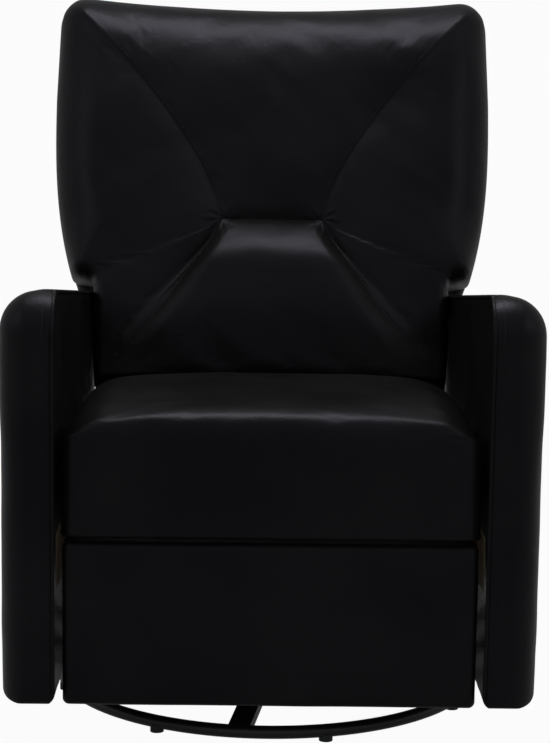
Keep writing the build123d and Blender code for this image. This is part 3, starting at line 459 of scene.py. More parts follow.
def set_coordinates(piece, points):
    """Move a piece's points to those of an array."""
    piece.data.vertices.foreach_set("co", np.asarray(points, np.float32).reshape(-1))
    piece.data.update()


def swell(piece, held, pressure, limit, loosen=0.0, steps=10):
    """Puff a cover between its seams as cloth under pressure, with its held points fixed.

    No point moves further than the limit. The result is written to the mesh and the cloth is removed.
    """
    before = coordinates(piece)
    group = piece.vertex_groups.new(name="held")
    group.add([int(i) for i in np.unique(held)], 1.0, "REPLACE")
    cloth = piece.modifiers.new("cover", "CLOTH")
    settings = cloth.settings
    settings.quality = 2
    settings.mass = 0.4
    settings.tension_stiffness = 25
    settings.compression_stiffness = 25
    settings.shear_stiffness = 8
    settings.bending_stiffness = 0.6
    settings.air_damping = 2.0
    settings.vertex_group_mass = "held"
    settings.use_pressure = True
    settings.uniform_pressure_force = pressure
    settings.shrink_min = -loosen
    settings.effector_weights.gravity = 0.0
    cloth.collision_settings.use_collision = False
    scene = bpy.context.scene
    for step in range(1, steps + 1):
        scene.frame_set(step)
    copy = piece.evaluated_get(bpy.context.evaluated_depsgraph_get())
    values = np.zeros(len(before) * 3, np.float32)
    copy.data.vertices.foreach_get("co", values)
    moved = values.reshape(-1, 3).astype(float) - before
    length = np.linalg.norm(moved, axis=1, keepdims=True)
    moved *= np.minimum(1.0, limit / np.maximum(length, 1e-9))
    piece.modifiers.remove(cloth)
    piece.vertex_groups.remove(group)
    scene.frame_set(1)
    set_coordinates(piece, before + moved)


# ---------------------------------------------------------------- finishes


class Nodes:
    """A short way to lay out a material's nodes."""

    def __init__(self, name):
        self.material = bpy.data.materials.new(name)
        self.material.use_nodes = True
        self.tree = self.material.node_tree
        self.shader = self.tree.nodes["Principled BSDF"]
        place = self.tree.nodes.new("ShaderNodeTexCoord")
        self.place = place.outputs["Object"]

    def add(self, kind, inputs=None, **settings):
        node = self.tree.nodes.new(kind)
        for key, value in settings.items():
            setattr(node, key, value)
        for key, value in (inputs or {}).items():
            if isinstance(value, bpy.types.NodeSocket):
                self.tree.links.new(value, node.inputs[key])
            else:
                node.inputs[key].default_value = value
        return node

    def noise(self, scale, detail=3.0, rough=0.5, distortion=0.0, vector=None):
        inputs = {
            "Vector": vector or self.place, "Scale": scale, "Detail": detail,
            "Roughness": rough, "Distortion": distortion,
        }
        return self.add("ShaderNodeTexNoise", inputs).outputs["Fac"]

    def cells(self, scale, feature="F1", randomness=1.0, vector=None):
        inputs = {"Vector": vector or self.place, "Scale": scale, "Randomness": randomness}
        return self.add("ShaderNodeTexVoronoi", inputs, feature=feature).outputs["Distance"]

    def stretch(self, scale):
        return self.add(
            "ShaderNodeMapping", {"Vector": self.place, "Scale": scale}
        ).outputs["Vector"]

    def math(self, operation, first, second=0.0, clamp=False):
        return self.add(
            "ShaderNodeMath", {0: first, 1: second}, operation=operation, use_clamp=clamp
        ).outputs[0]

    def band(self, value, low, high, to_low=0.0, to_high=1.0):
        inputs = {
            "Value": value, "From Min": low, "From Max": high, "To Min": to_low, "To Max": to_high,
        }
        return self.add("ShaderNodeMapRange", inputs).outputs["Result"]

    def mix(self, share, first, second):
        node = self.add("ShaderNodeMix", data_type="RGBA")
        for key, value in ((0, share), (6, first), (7, second)):
            if isinstance(value, bpy.types.NodeSocket):
                self.tree.links.new(value, node.inputs[key])
            else:
                node.inputs[key].default_value = value
        return node.outputs[2]

    def bump(self, height, depth, strength, below=None):
        inputs = {"Height": height, "Distance": depth, "Strength": strength}
        if below:
            inputs["Normal"] = below
        return self.add("ShaderNodeBump", inputs).outputs["Normal"]

    def value(self, name):
        return self.add("ShaderNodeAttribute", attribute_name=name).outputs["Fac"]

    def finish(self, **inputs):
        for key, value in inputs.items():
            socket = self.shader.inputs[key.replace("_", " ")]
            if isinstance(value, bpy.types.NodeSocket):
                self.tree.links.new(value, socket)
            else:
                socket.default_value = value
        return self.material


def shade(colour, factor):
    """A colour made lighter or darker, with full opacity."""
    return tuple(min(1.0, channel * factor) for channel in colour) + (1.0,)


def leather_finish():
    """Bonded leather: a pebbled grain of small cells, soft creases, and duller, darker seams."""
    finish = bpy.context.scene.recliner_finish
    n = Nodes("leather")
    pebble = n.band(n.cells(finish.grain, "DISTANCE_TO_EDGE"), 0.0, 0.35)
    pores = n.cells(finish.grain * 2.6)
    crease = n.band(n.noise(34.0, 5.0, 0.62, 0.9), 0.36, 0.50)
    broad = n.noise(5.5, 2.0)
    seam = n.value("seam")
    soft = n.bump(n.noise(16.0, 2.0), 0.0022, 0.35)
    creased = n.bump(crease, 0.0006, 0.22, soft)
    grained = n.bump(pebble, 0.00022, 0.28, creased)
    fine = n.bump(pores, 0.00008, 0.20, grained)
    rough = n.math("ADD", n.band(broad, 0.3, 0.7, -0.05, 0.06), finish.leather_roughness)
    rough = n.math("ADD", rough, n.band(pebble, 0.0, 1.0, 0.10, 0.0))
    rough = n.math("ADD", rough, n.math("MULTIPLY", seam, 0.12), clamp=True)
    tone = n.mix(n.band(broad, 0.35, 0.65), shade(finish.leather, 0.75), shade(finish.leather, 1.25))
    tone = n.mix(n.math("MULTIPLY", seam, 0.6), tone, shade(finish.leather, 0.35))
    tone = n.mix(n.band(pebble, 0.25, 0.0, 0.0, 0.5), tone, shade(finish.leather, 0.4))
    return n.finish(
        Base_Color=tone, Roughness=rough, Normal=fine, Specular_IOR_Level=0.11,
        Specular_Tint=(0.84, 0.82, 1.0, 1.0),
    )


def thread_finish():
    """Bonded polyester thread: a fine twist across each stitch."""
    finish = bpy.context.scene.recliner_finish
    n = Nodes("thread")
    twist = n.noise(2600.0, 2.0, vector=n.stretch((1.0, 1.0, 2.2)))
    tone = n.mix(twist, shade(finish.thread, 0.6), shade(finish.thread, 1.5))
    return n.finish(
        Base_Color=tone, Roughness=0.5, Normal=n.bump(twist, 0.0002, 0.4), Specular_IOR_Level=0.3,
    )


def paint_finish():
    """Powder coat: orange peel, a few rubs and dust in the roughness."""
    finish = bpy.context.scene.recliner_finish
    n = Nodes("powder_coat")
    peel = n.noise(420.0, 2.0)
    rubs = n.band(n.noise(38.0, 6.0, 0.7, vector=n.stretch((1.0, 1.0, 3.0))), 0.56, 0.66)
    tone = n.mix(rubs, shade(finish.paint, 0.9), shade(finish.paint, 1.8))
    rough = n.band(n.noise(22.0, 4.0), 0.3, 0.7, 0.30, 0.42)
    return n.finish(
        Base_Color=tone, Roughness=rough, Normal=n.bump(peel, 0.0003, 0.22), Specular_IOR_Level=0.35,
    )


def zinc_finish():
    """Plated sheet steel: drawn lines, a mottled plating and handling marks."""
    finish = bpy.context.scene.recliner_finish
    n = Nodes("zinc_plate")
    mottle = n.cells(150.0)
    lines = n.noise(900.0, 2.0, vector=n.stretch((1.0, 0.05, 1.0)))
    marks = n.noise(30.0, 6.0, 0.65)
    tone = n.mix(n.band(mottle, 0.1, 0.7), shade(finish.zinc, 0.8), shade(finish.zinc, 1.15))
    rough = n.math("ADD", n.band(marks, 0.3, 0.7, 0.26, 0.46), n.math("MULTIPLY", lines, 0.06))
    return n.finish(
        Base_Color=tone, Roughness=rough, Metallic=1.0, Normal=n.bump(lines, 0.0001, 0.25),
    )


def steel_finish():
    """Bright drawn steel: fine rings and slight tarnish."""
    finish = bpy.context.scene.recliner_finish
    n = Nodes("bright_steel")
    rings = n.noise(1600.0, 2.0, vector=n.stretch((2.0, 1.0, 1.0)))
    tarnish = n.noise(60.0, 5.0, 0.6)
    tone = n.mix(n.band(tarnish, 0.35, 0.75), shade(finish.steel, 1.1), shade(finish.steel, 0.72))
    return n.finish(
        Base_Color=tone, Roughness=n.band(tarnish, 0.3, 0.7, 0.18, 0.36), Metallic=1.0,
        Normal=n.bump(rings, 0.00008, 0.2),
    )


def wood_finish():
    """Sawn board: long fibres along X and along Z, growth bands and pores."""
    finish = bpy.context.scene.recliner_finish
    n = Nodes("frame_board")
    fibres = n.noise(260.0, 5.0, 0.6, vector=n.stretch((0.08, 1.0, 0.5)))
    bands = n.noise(26.0, 3.0, 0.5, 1.4, vector=n.stretch((0.18, 1.0, 0.6)))
    tone = n.mix(n.band(bands, 0.35, 0.68), shade(finish.wood, 1.12), shade(finish.wood, 0.66))
    tone = n.mix(n.band(fibres, 0.52, 0.70, 0.0, 0.45), tone, shade(finish.wood, 0.45))
    return n.finish(
        Base_Color=tone, Roughness=n.band(fibres, 0.3, 0.7, 0.55, 0.75),
        Normal=n.bump(fibres, 0.0004, 0.4), Specular_IOR_Level=0.3,
    )


def plastic_finish():
    """Moulded plastic: a fine spark texture with faint flow marks."""
    finish = bpy.context.scene.recliner_finish
    n = Nodes("moulded_plastic")
    spark = n.cells(1500.0)
    flow = n.noise(18.0, 3.0, 0.5, vector=n.stretch((1.0, 0.3, 1.0)))
    tone = n.mix(n.band(flow, 0.3, 0.7), shade(finish.plastic, 0.85), shade(finish.plastic, 1.2))
    return n.finish(
        Base_Color=tone, Roughness=n.band(flow, 0.3, 0.7, 0.42, 0.52),
        Normal=n.bump(spark, 0.00012, 0.3), Specular_IOR_Level=0.4,
    )


finishes = {}


# ---------------------------------------------------------------- forms


def node_box(node):
    """A node's lowest and highest corners as arrays, mirrored to the right where it is on the left."""
    low, high = (np.array(corner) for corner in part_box(node))
    if high[0] < 0:
        low[0], high[0] = -high[0], -low[0]
    return low, high


def arm_surface(latch_side):
    """The arm's cover: a rounded bar seen from the side, its two faces drawn in near the outline.

    The outline is a loop in (y, z). A point at a share of the way from the loop to the arm's middle
    line takes its x from the face less the circle's drop at its distance from each edge.
    """
    shape = bpy.context.scene.recliner_shape
    deepest = 0.27
    low, high = node_box("arm_cover_left")
    y0, y1 = low[1], high[1]
    slope = (shape.arm_front_height - shape.arm_rear_height) / (y1 - y0)
    front_height = shape.arm_front_height
    foot = low[2]

    def top_at(y):
        return front_height - slope * (y - y0)

    corners = [(y0, foot), (y0, top_at(y0)), (y1, top_at(y1)), (y1, foot)]
    radii = [0.010, shape.roll_radius, shape.heel_radius, 0.010]
    count = 460
    loop = rounded_outline(corners, radii, count)
    spine_low, spine_high = y0 + 0.20, y1 - 0.20
    middle = (foot + top_at((y0 + y1) / 2)) / 2
    centre = np.stack([np.clip(loop[:, 0], spine_low, spine_high), np.full(count, middle)], 1)
    reach = np.linalg.norm(centre - loop, axis=1)

    def distances(y, z):
        tilt = np.sqrt(1 + slope**2)
        from_front = y - y0
        from_top = (top_at(y) - z) / tilt
        from_rear = y1 - y
        upper = join_round(from_front, from_top, shape.roll_radius)
        upper = np.minimum(upper, join_round(from_rear, from_top, shape.heel_radius))
        return np.maximum(upper, 0.0), np.maximum(z - foot, 0.0)

    outer = shape.outer_round
    near = outer * (1 - np.cos(np.linspace(0, np.pi / 2, 15)))
    seam_in = outer + 0.010
    by_seam = seam_in + np.array([-0.005, -0.0025, 0.0, 0.0025, 0.005])
    outside = np.concatenate([near, by_seam, np.linspace(seam_in + 0.02, deepest, 12)])
    inner = shape.inner_round
    near = inner * (1 - np.cos(np.linspace(0, np.pi / 2, 6)))
    inside = np.concatenate([near, [0.013, 0.016, 0.02], np.linspace(0.04, deepest, 10)])

    def face(insets, x_face, sign, radius, groove):
        share = np.where(insets[:, None] >= deepest, 1.0, insets[:, None] / reach[None, :])
        share = np.minimum(share, 1.0)
        point = loop[None] * (1 - share[..., None]) + centre[None] * share[..., None]
        edge, base = distances(point[..., 0], point[..., 1])
        drop = np.hypot(round_drop(edge, radius), round_drop(base, shape.foot_round))
        crown = (0.0025 if sign > 0 else 0.0) * ease(edge / 0.12) * ease(base / 0.10)
        dent = groove * np.exp(-(((edge - seam_in) / 0.0028) ** 2)) * (base > 0.004)
        x = x_face - sign * (drop - crown + dent)
        return np.stack([x, point[..., 0], point[..., 1]], -1), edge

    outer_points, edge_out = face(outside, high[0], 1.0, outer, 0.0020)
    inner_points, edge_in = face(inside, low[0], -1.0, inner, 0.0)
    across = np.linspace(0, 1, 9)[1:-1][:, None, None]
    strip = inner_points[0][None] * (1 - across) + outer_points[0][None] * across
    lift = 0.0022 * np.sin(np.pi * across[..., 0])
    towards = loop - centre
    towards /= np.linalg.norm(towards, axis=1, keepdims=True)
    level = (loop[:, 1] > foot + 0.02)[None]
    strip[..., 1:] += (lift * level)[..., None] * towards[None]
    points = np.concatenate([inner_points[::-1], strip, outer_points], 0)
    wave = ripple(points, 0.16, 7) * 0.0011 + ripple(points, 0.055, 8) * 0.00035
    edge = np.concatenate([edge_in[::-1], np.zeros(strip.shape[:2]), edge_out], 0)
    outwards = points[..., 0] > (low[0] + high[0]) / 2
    turned = 0.09
    points[..., 0] += np.where(outwards, wave, 0.6 * np.abs(wave)) * ease(edge / 0.03)
    front = points[..., 1] < y0 + turned
    points[..., 1] += np.where(front, wave * 0.8 * (1 - ease((points[..., 1] - y0) / turned)), 0.0)
    seam = np.exp(-(((edge - seam_in) / 0.004) ** 2)) * outwards
    if not latch_side:
        points[..., 0] *= -1
    return points, seam, loop, low, high, foot, seam_in


def arm_path(loop, foot, inset, x):
    """The arm's outline from its front foot over the top to its rear foot, drawn in by an inset."""
    y0 = loop[:, 0].min()
    y1 = loop[:, 0].max()
    middle = np.array([(y0 + y1) / 2, foot])
    upright = loop[loop[:, 1] > foot + 0.012]
    angle = np.arctan2(upright[:, 1] - middle[1], -(upright[:, 0] - middle[0]))
    upright = upright[np.argsort(angle)]
    along = np.gradient(upright, axis=0)
    along /= np.linalg.norm(along, axis=1, keepdims=True)
    inward = np.stack([along[:, 1], -along[:, 0]], 1)
    inward *= np.sign(((middle - upright) * inward).sum(1))[:, None]
    path = upright + inward * inset
    path = resample(np.hstack([path, inward]), 360)
    return np.column_stack([np.full(360, x), path[:, :2]]), path[:, 2:]


def back_place(points):
    """Points of the back's own frame (x, height up its slope, depth before its rear face) in the room."""
    shape = bpy.context.scene.recliner_shape
    lean_sin, lean_cos = np.sin(shape.recline), np.cos(shape.recline)
    x, height, depth = points[..., 0], points[..., 1], points[..., 2]
    y = shape.back_foot_y + height * lean_sin - depth * lean_cos
    z = shape.back_foot_z + height * lean_cos + depth * lean_sin
    return np.stack([x, y, z], -1)


def soften(values, width):
    """Smooth values round a closed loop: each is the mean of its neighbours under a raised cosine."""
    count = len(values)
    bell = np.zeros(count)
    reach = np.arange(-width, width + 1)
    bell[reach % count] = 1 + np.cos(np.pi * reach / (width + 1))
    bell /= bell.sum()
    spectrum = np.fft.rfft(values, axis=0) * np.fft.rfft(bell).reshape(-1, *[1] * (values.ndim - 1))
    return np.fft.irfft(spectrum, count, axis=0)


def back_outline(inset, foot, wing_foot, count):
    """The back's outline in (x, height): narrow between the arms, a step out to the wings, a hollow top.

    A wing's half-width grows with height, up to its shoulder, as 1 - (1 - r)^2.8 of what is left.
    """
    shape = bpy.context.scene.recliner_shape
    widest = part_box("back_shell")[1][0] - 0.0015
    head = 0.738 - inset
    span = shape.wing_shoulder - shape.wing_foot
    rise = np.linspace((wing_foot - shape.wing_foot) / span, 1, 40)
    wing = shape.wing_half + (widest - shape.wing_half) * (1 - (1 - rise) ** 2.8)
    heights = shape.wing_foot + rise * span + inset * (1 - rise)
    waist = shape.waist - inset
    corner = 0.048
    foot_corner = 0.012
    turn = np.linspace(0, np.pi / 2, 16)
    top = widest - 0.004 - inset
    arc = [top - corner, head - corner] + corner * np.column_stack([np.cos(turn), np.sin(turn)])
    across = np.linspace(top - corner, 0, 24)[1:]
    crown = np.column_stack([across, head - shape.top_dip * (1 - (across / (top - corner)) ** 2)])
    foot_arc = foot_corner * np.column_stack([np.sin(turn), -np.cos(turn)])
    foot_arc += [waist - 0.003 - foot_corner, foot + foot_corner]
    edge = [[waist, 0.13], [waist, wing_foot - 0.008 + inset]]
    sides = np.vstack([edge, np.column_stack([wing - inset, heights])])
    half = np.vstack([[[0.0, foot]], foot_arc, sides, arc, crown])
    whole = np.vstack([half, (half * [-1, 1])[-2:0:-1]])
    return resample(soften(resample(whole, 4 * count, closed=True), 10), count, closed=True)


def envelope_grid(outline, seam_half, seam_height, rows, ends):
    """Loops from the level seam out to an outline, with four corner columns on the envelope's diagonals.

    ends are the outline's numbers at its four corners. Above and below, a column starts at its share
    of the level seam, and beside it at the seam's end. Sideways the columns lag by a power, which
    eases from the lower corners' to the upper corners' up the sides.
    """
    count = len(outline)
    start = np.zeros((count, 2))
    start[:, 1] = seam_height
    numbers = np.arange(count)
    lower_left, lower_right, upper_right, upper_left = ends
    low_power, top_power = 1.22, 1.42
    power = np.full(count, low_power)

    def between(first, last):
        span = (last - first) % count
        place = (numbers - first) % count
        return place <= span, place / span

    inside, share = between(lower_left, lower_right)
    start[inside, 0] = -seam_half + 2 * seam_half * share[inside]
    inside, share = between(upper_right, upper_left)
    start[inside, 0] = seam_half - 2 * seam_half * share[inside]
    power[inside] = top_power
    inside, share = between(lower_right, upper_right)
    start[inside, 0] = seam_half
    power[inside] = low_power + (top_power - low_power) * ease(share[inside])
    inside, share = between(upper_left, lower_left)
    start[inside, 0] = -seam_half
    power[inside] = top_power + (low_power - top_power) * ease(share[inside])
    t = rows[:, None]
    x = start[None, :, 0] + (outline[None, :, 0] - start[None, :, 0]) * t ** power[None, :]
    height = start[None, :, 1] + (outline[None, :, 1] - start[None, :, 1]) * t
    return np.stack([x, height], -1)


def distances_to(points, line):
    """Each point's distance from the nearest of a line's points, worked out row by row."""
    return np.stack([np.sqrt(((row[:, None] - line[None]) ** 2).sum(-1).min(-1)) for row in points])


# ---------------------------------------------------------------- pieces


class RECLINER_OT_finishes(bpy.types.Operator):
    """Make the finishes, and give each solid that shows the finish of its material slot"""

    bl_idname = "recliner.finishes"
    bl_label = "Finishes"

    def execute(self, context):
        finishes.update(
            black_leather=leather_finish(),
            black_steel=paint_finish(),
            zinc_steel=zinc_finish(),
            bright_steel=steel_finish(),
            frame_wood=wood_finish(),
            black_plastic=plastic_finish(),
            thread=thread_finish(),
        )
        for node in frame["nodes"].values():
            for place in node.material_slots:
                place.material = finishes[place.material.name.split(".")[0]]
        return {"FINISHED"}


class RECLINER_OT_arms(bpy.types.Operator):
    """Make the two upholstered arms, with their welts and topstitching"""

    bl_idname = "recliner.arms"
    bl_label = "Arms"

    def execute(self, context):
        shape = context.scene.recliner_shape
        for side, sign in (("right", 1.0), ("left", -1.0)):
            points, seam, loop, low, high, foot, seam_in = arm_surface(sign > 0)
            leather = finishes["black_leather"]
            quads = grid_quads(*points.shape[:2], wrap_columns=True)
            cover, _ = mesh_piece(f"arm_{side}", points, quads, leather, {"seam": seam})
            if sign > 0:
                self.cut_recess(cover)
            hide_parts(f"arm_cover_{side}")
            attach(cover, "chassis")
            inner = shape.inner_round
            out = inner * (1 - np.sqrt(0.5)) - shape.welt_radius * 0.25
            path, inward = arm_path(loop, foot, out, low[0] + out)
            path[:, 0] *= sign
            facing = np.column_stack([np.full(len(inward), -sign), -inward])
            welt = tube(f"arm_welt_{side}", path, shape.welt_radius, facing, leather, sides=12)
            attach(welt, "chassis")
            beside_seam, _ = arm_path(loop, foot, seam_in - 0.0055, high[0] + 0.0006)
            beside_welt, inward = arm_path(loop, foot, -0.0016, low[0] + inner + 0.006)
            facings = [
                np.broadcast_to([sign, 0.0, 0.0], beside_seam.shape),
                np.column_stack([np.zeros(len(inward)), -inward]),
            ]
            paths = [line * [sign, 1.0, 1.0] for line in (beside_seam, beside_welt)]
            paths, facings = ([rows[10:-10] for rows in both] for both in (paths, facings))
            thread = stitches(f"arm_stitching_{side}", paths, facings, finishes["thread"])
            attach(thread, "chassis")
        return {"FINISHED"}

    def cut_recess(self, cover):
        """Cut the latch's pocket: a rounded box a little larger than the cup's flange, through the cover."""
        low, high = node_box("latch_cup")
        count = 80
        corners = [(low[1], low[2]), (low[1], high[2]), (high[1], high[2]), (high[1], low[2])]
        loop = rounded_outline(corners, [0.010] * 4, count)
        grow = loop - loop.mean(0)
        loop = loop + 0.0006 * grow / np.linalg.norm(grow, axis=1, keepdims=True)
        walls = [np.column_stack([np.full(count, x), loop]) for x in (low[0] - 0.003, high[0] + 0.02)]
        hubs = [np.repeat(wall.mean(0)[None], count, 0) for wall in walls]
        points = np.stack([hubs[0], *walls, hubs[1]], 0)
        quads = grid_quads(4, count, wrap_columns=True)
        cutter, _ = mesh_piece("cutter", points, quads, finishes["black_leather"])
        cut = cover.modifiers.new("recess", "BOOLEAN")
        cut.operation = "DIFFERENCE"
        cut.object = cutter
        copy = cover.evaluated_get(context_graph())
        mesh = bpy.data.meshes.new_from_object(copy)
        cover.modifiers.remove(cut)
        old = cover.data
        cover.data = mesh
        bpy.data.meshes.remove(old)
        bpy.data.objects.remove(cutter)


def context_graph():
    """The scene as it stands, worked out afresh."""
    bpy.context.view_layer.update()
    return bpy.context.evaluated_depsgraph_get()


def bar_form(loop, still, half, radii, columns):
    """A padded bar along X: a closed loop in (y, z), drawn in near both ends. Returns points and caps.

    At a distance d from an end, a point moves back along y and z by its share of the loop's normal
    there times the drop at d of a circle of the front's, rear's, top's or foot's radius.
    """
    along = np.roll(loop, -1, 0) - np.roll(loop, 1, 0)
    normal = np.column_stack([along[:, 1], -along[:, 0]])
    normal /= np.linalg.norm(normal, axis=1, keepdims=True)
    after = np.roll(loop, -1, 0)
    if (loop[:, 0] * after[:, 1] - after[:, 0] * loop[:, 1]).sum() < 0:
        normal = -normal
    normal = np.where(still[:, None], 0.0, normal)
    largest = max(radii)
    edge = largest * (1 - np.cos(np.linspace(0, np.pi / 2, 16)))
    middle = np.linspace(largest, 2 * half - largest, columns)[1:-1]
    across = np.concatenate([edge, middle, 2 * half - edge[::-1]])
    near = np.minimum(across, 2 * half - across)[:, None]
    front, rear, top, foot = (round_drop(near, radius) for radius in radii)
    y = loop[None, :, 0] - np.where(normal[:, 0] < 0, front * normal[:, 0], rear * normal[:, 0])
    z = loop[None, :, 1] - np.where(normal[:, 1] > 0, top * normal[:, 1], foot * normal[:, 1])
    x = np.broadcast_to((across - half)[:, None], y.shape)
    numbers = np.arange(y.size).reshape(y.shape)
    return np.stack([x, y, z], -1), [numbers[0, ::-1], numbers[-1]]


class RECLINER_OT_seat(bpy.types.Operator):
    """Make the seat cushion, which runs down over the front as one cover"""

    bl_idname = "recliner.seat"
    bl_label = "Seat"

    def execute(self, context):
        low, high = node_box("seat_cushion")
        band_low, band_high = node_box("seat_front_band")
        front, rear = low[1], high[1]
        frame_top = low[2] + 0.0004
        crest = high[2]
        foot = band_low[2] - 0.002
        board = band_high[1] - 0.0004
        half = high[0]
        corners = [
            (board, foot), (front + 0.001, foot), (front, foot + 0.08), (front, crest - 0.06),
            (front + 0.001, crest - 0.014), (front + 0.06, crest - 0.004), (front + 0.17, crest + 0.001),
            (front + 0.30, crest - 0.003), (rear - 0.10, crest - 0.020), (rear - 0.008, crest - 0.034),
            (rear, crest - 0.060), (rear, frame_top), (board, frame_top),
        ]
        radii = [0.002, 0.011, 0.05, 0.05, 0.020, 0.08, 0.10, 0.10, 0.08, 0.014, 0.02, 0.004, 0.002]
        loop = rounded_outline(corners, radii, 400)
        near = 0.0002
        under = (loop[:, 1] < frame_top + near) & (loop[:, 0] > board - near)
        points, caps = bar_form(loop, under, half, (0.026, 0.030, 0.062, 0.008), 60)
        x = points[..., 0]
        side = np.abs(x) / half
        top = ease((points[..., 2] - frame_top - 0.02) / 0.06)
        face = ease((front + 0.05 - points[..., 1]) / 0.05) * ease((points[..., 2] - foot) / 0.05)
        points[..., 2] -= 0.013 * side**3 * top
        points[..., 1] += 0.004 * side**4 * face - 0.002 * (1 - side**2) * face
        lumps = ripple(points, 0.17, 3) * 0.0022 + ripple(points, 0.06, 4) * 0.0007
        points[..., 2] += lumps * top * (1 - side**6)
        points[..., 1] += lumps * 0.5 * face
        from_corner = np.hypot((x - half + 0.035) / 0.028, (points[..., 2] - crest + 0.048) / 0.026)
        gather = np.exp(-(from_corner**2))
        points[..., 1] += 0.0011 * gather * np.sin(points[..., 2] * 560 + x * 60) * face
        seam = np.exp(-(((half - np.abs(x)) / 0.003) ** 2)) * 0.5
        quads = grid_quads(*points.shape[:2], wrap_columns=True)
        leather = finishes["black_leather"]
        cover, welded = mesh_piece("seat_pad", points, quads, leather, {"seam": seam}, caps)
        held = np.broadcast_to(under[None], x.shape) | (side > 0.985) | (points[..., 2] < foot + 0.012)
        held |= points[..., 1] > rear - 0.03
        swell(cover, welded[held.reshape(-1)], 1.6, 0.004)
        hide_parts("seat_cushion", "seat_front_band")
        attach(cover, "seat")
        return {"FINISHED"}


class RECLINER_OT_footrest(bpy.types.Operator):
    """Make the footrest's padded panel, whose cover wraps round its board"""

    bl_idname = "recliner.footrest"
    bl_label = "Footrest"

    def execute(self, context):
        low, high = node_box("footrest_pad")
        front = low[1]
        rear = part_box("footrest_board")[1][1]
        middle = (low[2] + high[2]) / 2
        corners = [
            (rear, low[2] + 0.003), (front + 0.004, low[2]), (front + 0.0005, middle - 0.06),
            (front + 0.0005, middle + 0.06), (front + 0.003, high[2]), (rear, high[2] - 0.001),
        ]
        loop = rounded_outline(corners, [0.003, 0.010, 0.3, 0.3, 0.011, 0.003], 260)
        still = np.zeros(len(loop), bool)
        points, caps = bar_form(loop, still, high[0], (0.013, 0.004, 0.009, 0.009), 64)
        face = ease((rear - 0.02 - points[..., 1]) / 0.02)
        lumps = ripple(points, 0.15, 11) * 0.0014 + ripple(points, 0.05, 12) * 0.0004
        points[..., 1] += face * lumps
        quads = grid_quads(*points.shape[:2], wrap_columns=True)
        leather = finishes["black_leather"]
        cover, _ = mesh_piece("footrest_panel", points, quads, leather, None, caps)
        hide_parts("footrest_pad", "footrest_board")
        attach(cover, "footrest")
        return {"FINISHED"}


class RECLINER_OT_rear_panel(bpy.types.Operator):
    """Make the covered board that closes the chair's lower rear, with its topstitching"""

    bl_idname = "recliner.rear_panel"
    bl_label = "Rear panel"

    def execute(self, context):
        low, high = node_box("rear_panel")
        corners = [(low[1], low[2]), (low[1], high[2]), (high[1], high[2]), (high[1], low[2])]
        loop = rounded_outline(corners, [0.003, 0.004, 0.006, 0.005], 220)
        still = np.zeros(len(loop), bool)
        points, caps = bar_form(loop, still, high[0] - 0.0006, (0.003, 0.006, 0.003, 0.003), 50)
        outside = ease((points[..., 1] - high[1] + 0.008) / 0.008)
        points[..., 1] += outside * (ripple(points, 0.14, 31) * 0.0009 - 0.0010)
        quads = grid_quads(*points.shape[:2], wrap_columns=True)
        cover, _ = mesh_piece("rear_cover", points, quads, finishes["black_leather"], None, caps)
        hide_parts("rear_panel")
        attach(cover, "chassis")
        across = np.linspace(low[0] + 0.012, high[0] - 0.012, 200)
        lines = []
        for height in (low[2] + 0.014, high[2] - 0.014):
            lines.append(np.column_stack([across, np.full(200, high[1]), np.full(200, height)]))
        facings = [np.broadcast_to([0.0, 1.0, 0.0], line.shape) for line in lines]
        thread = stitches("rear_stitching", lines, facings, finishes["thread"])
        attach(thread, "chassis")
        return {"FINISHED"}


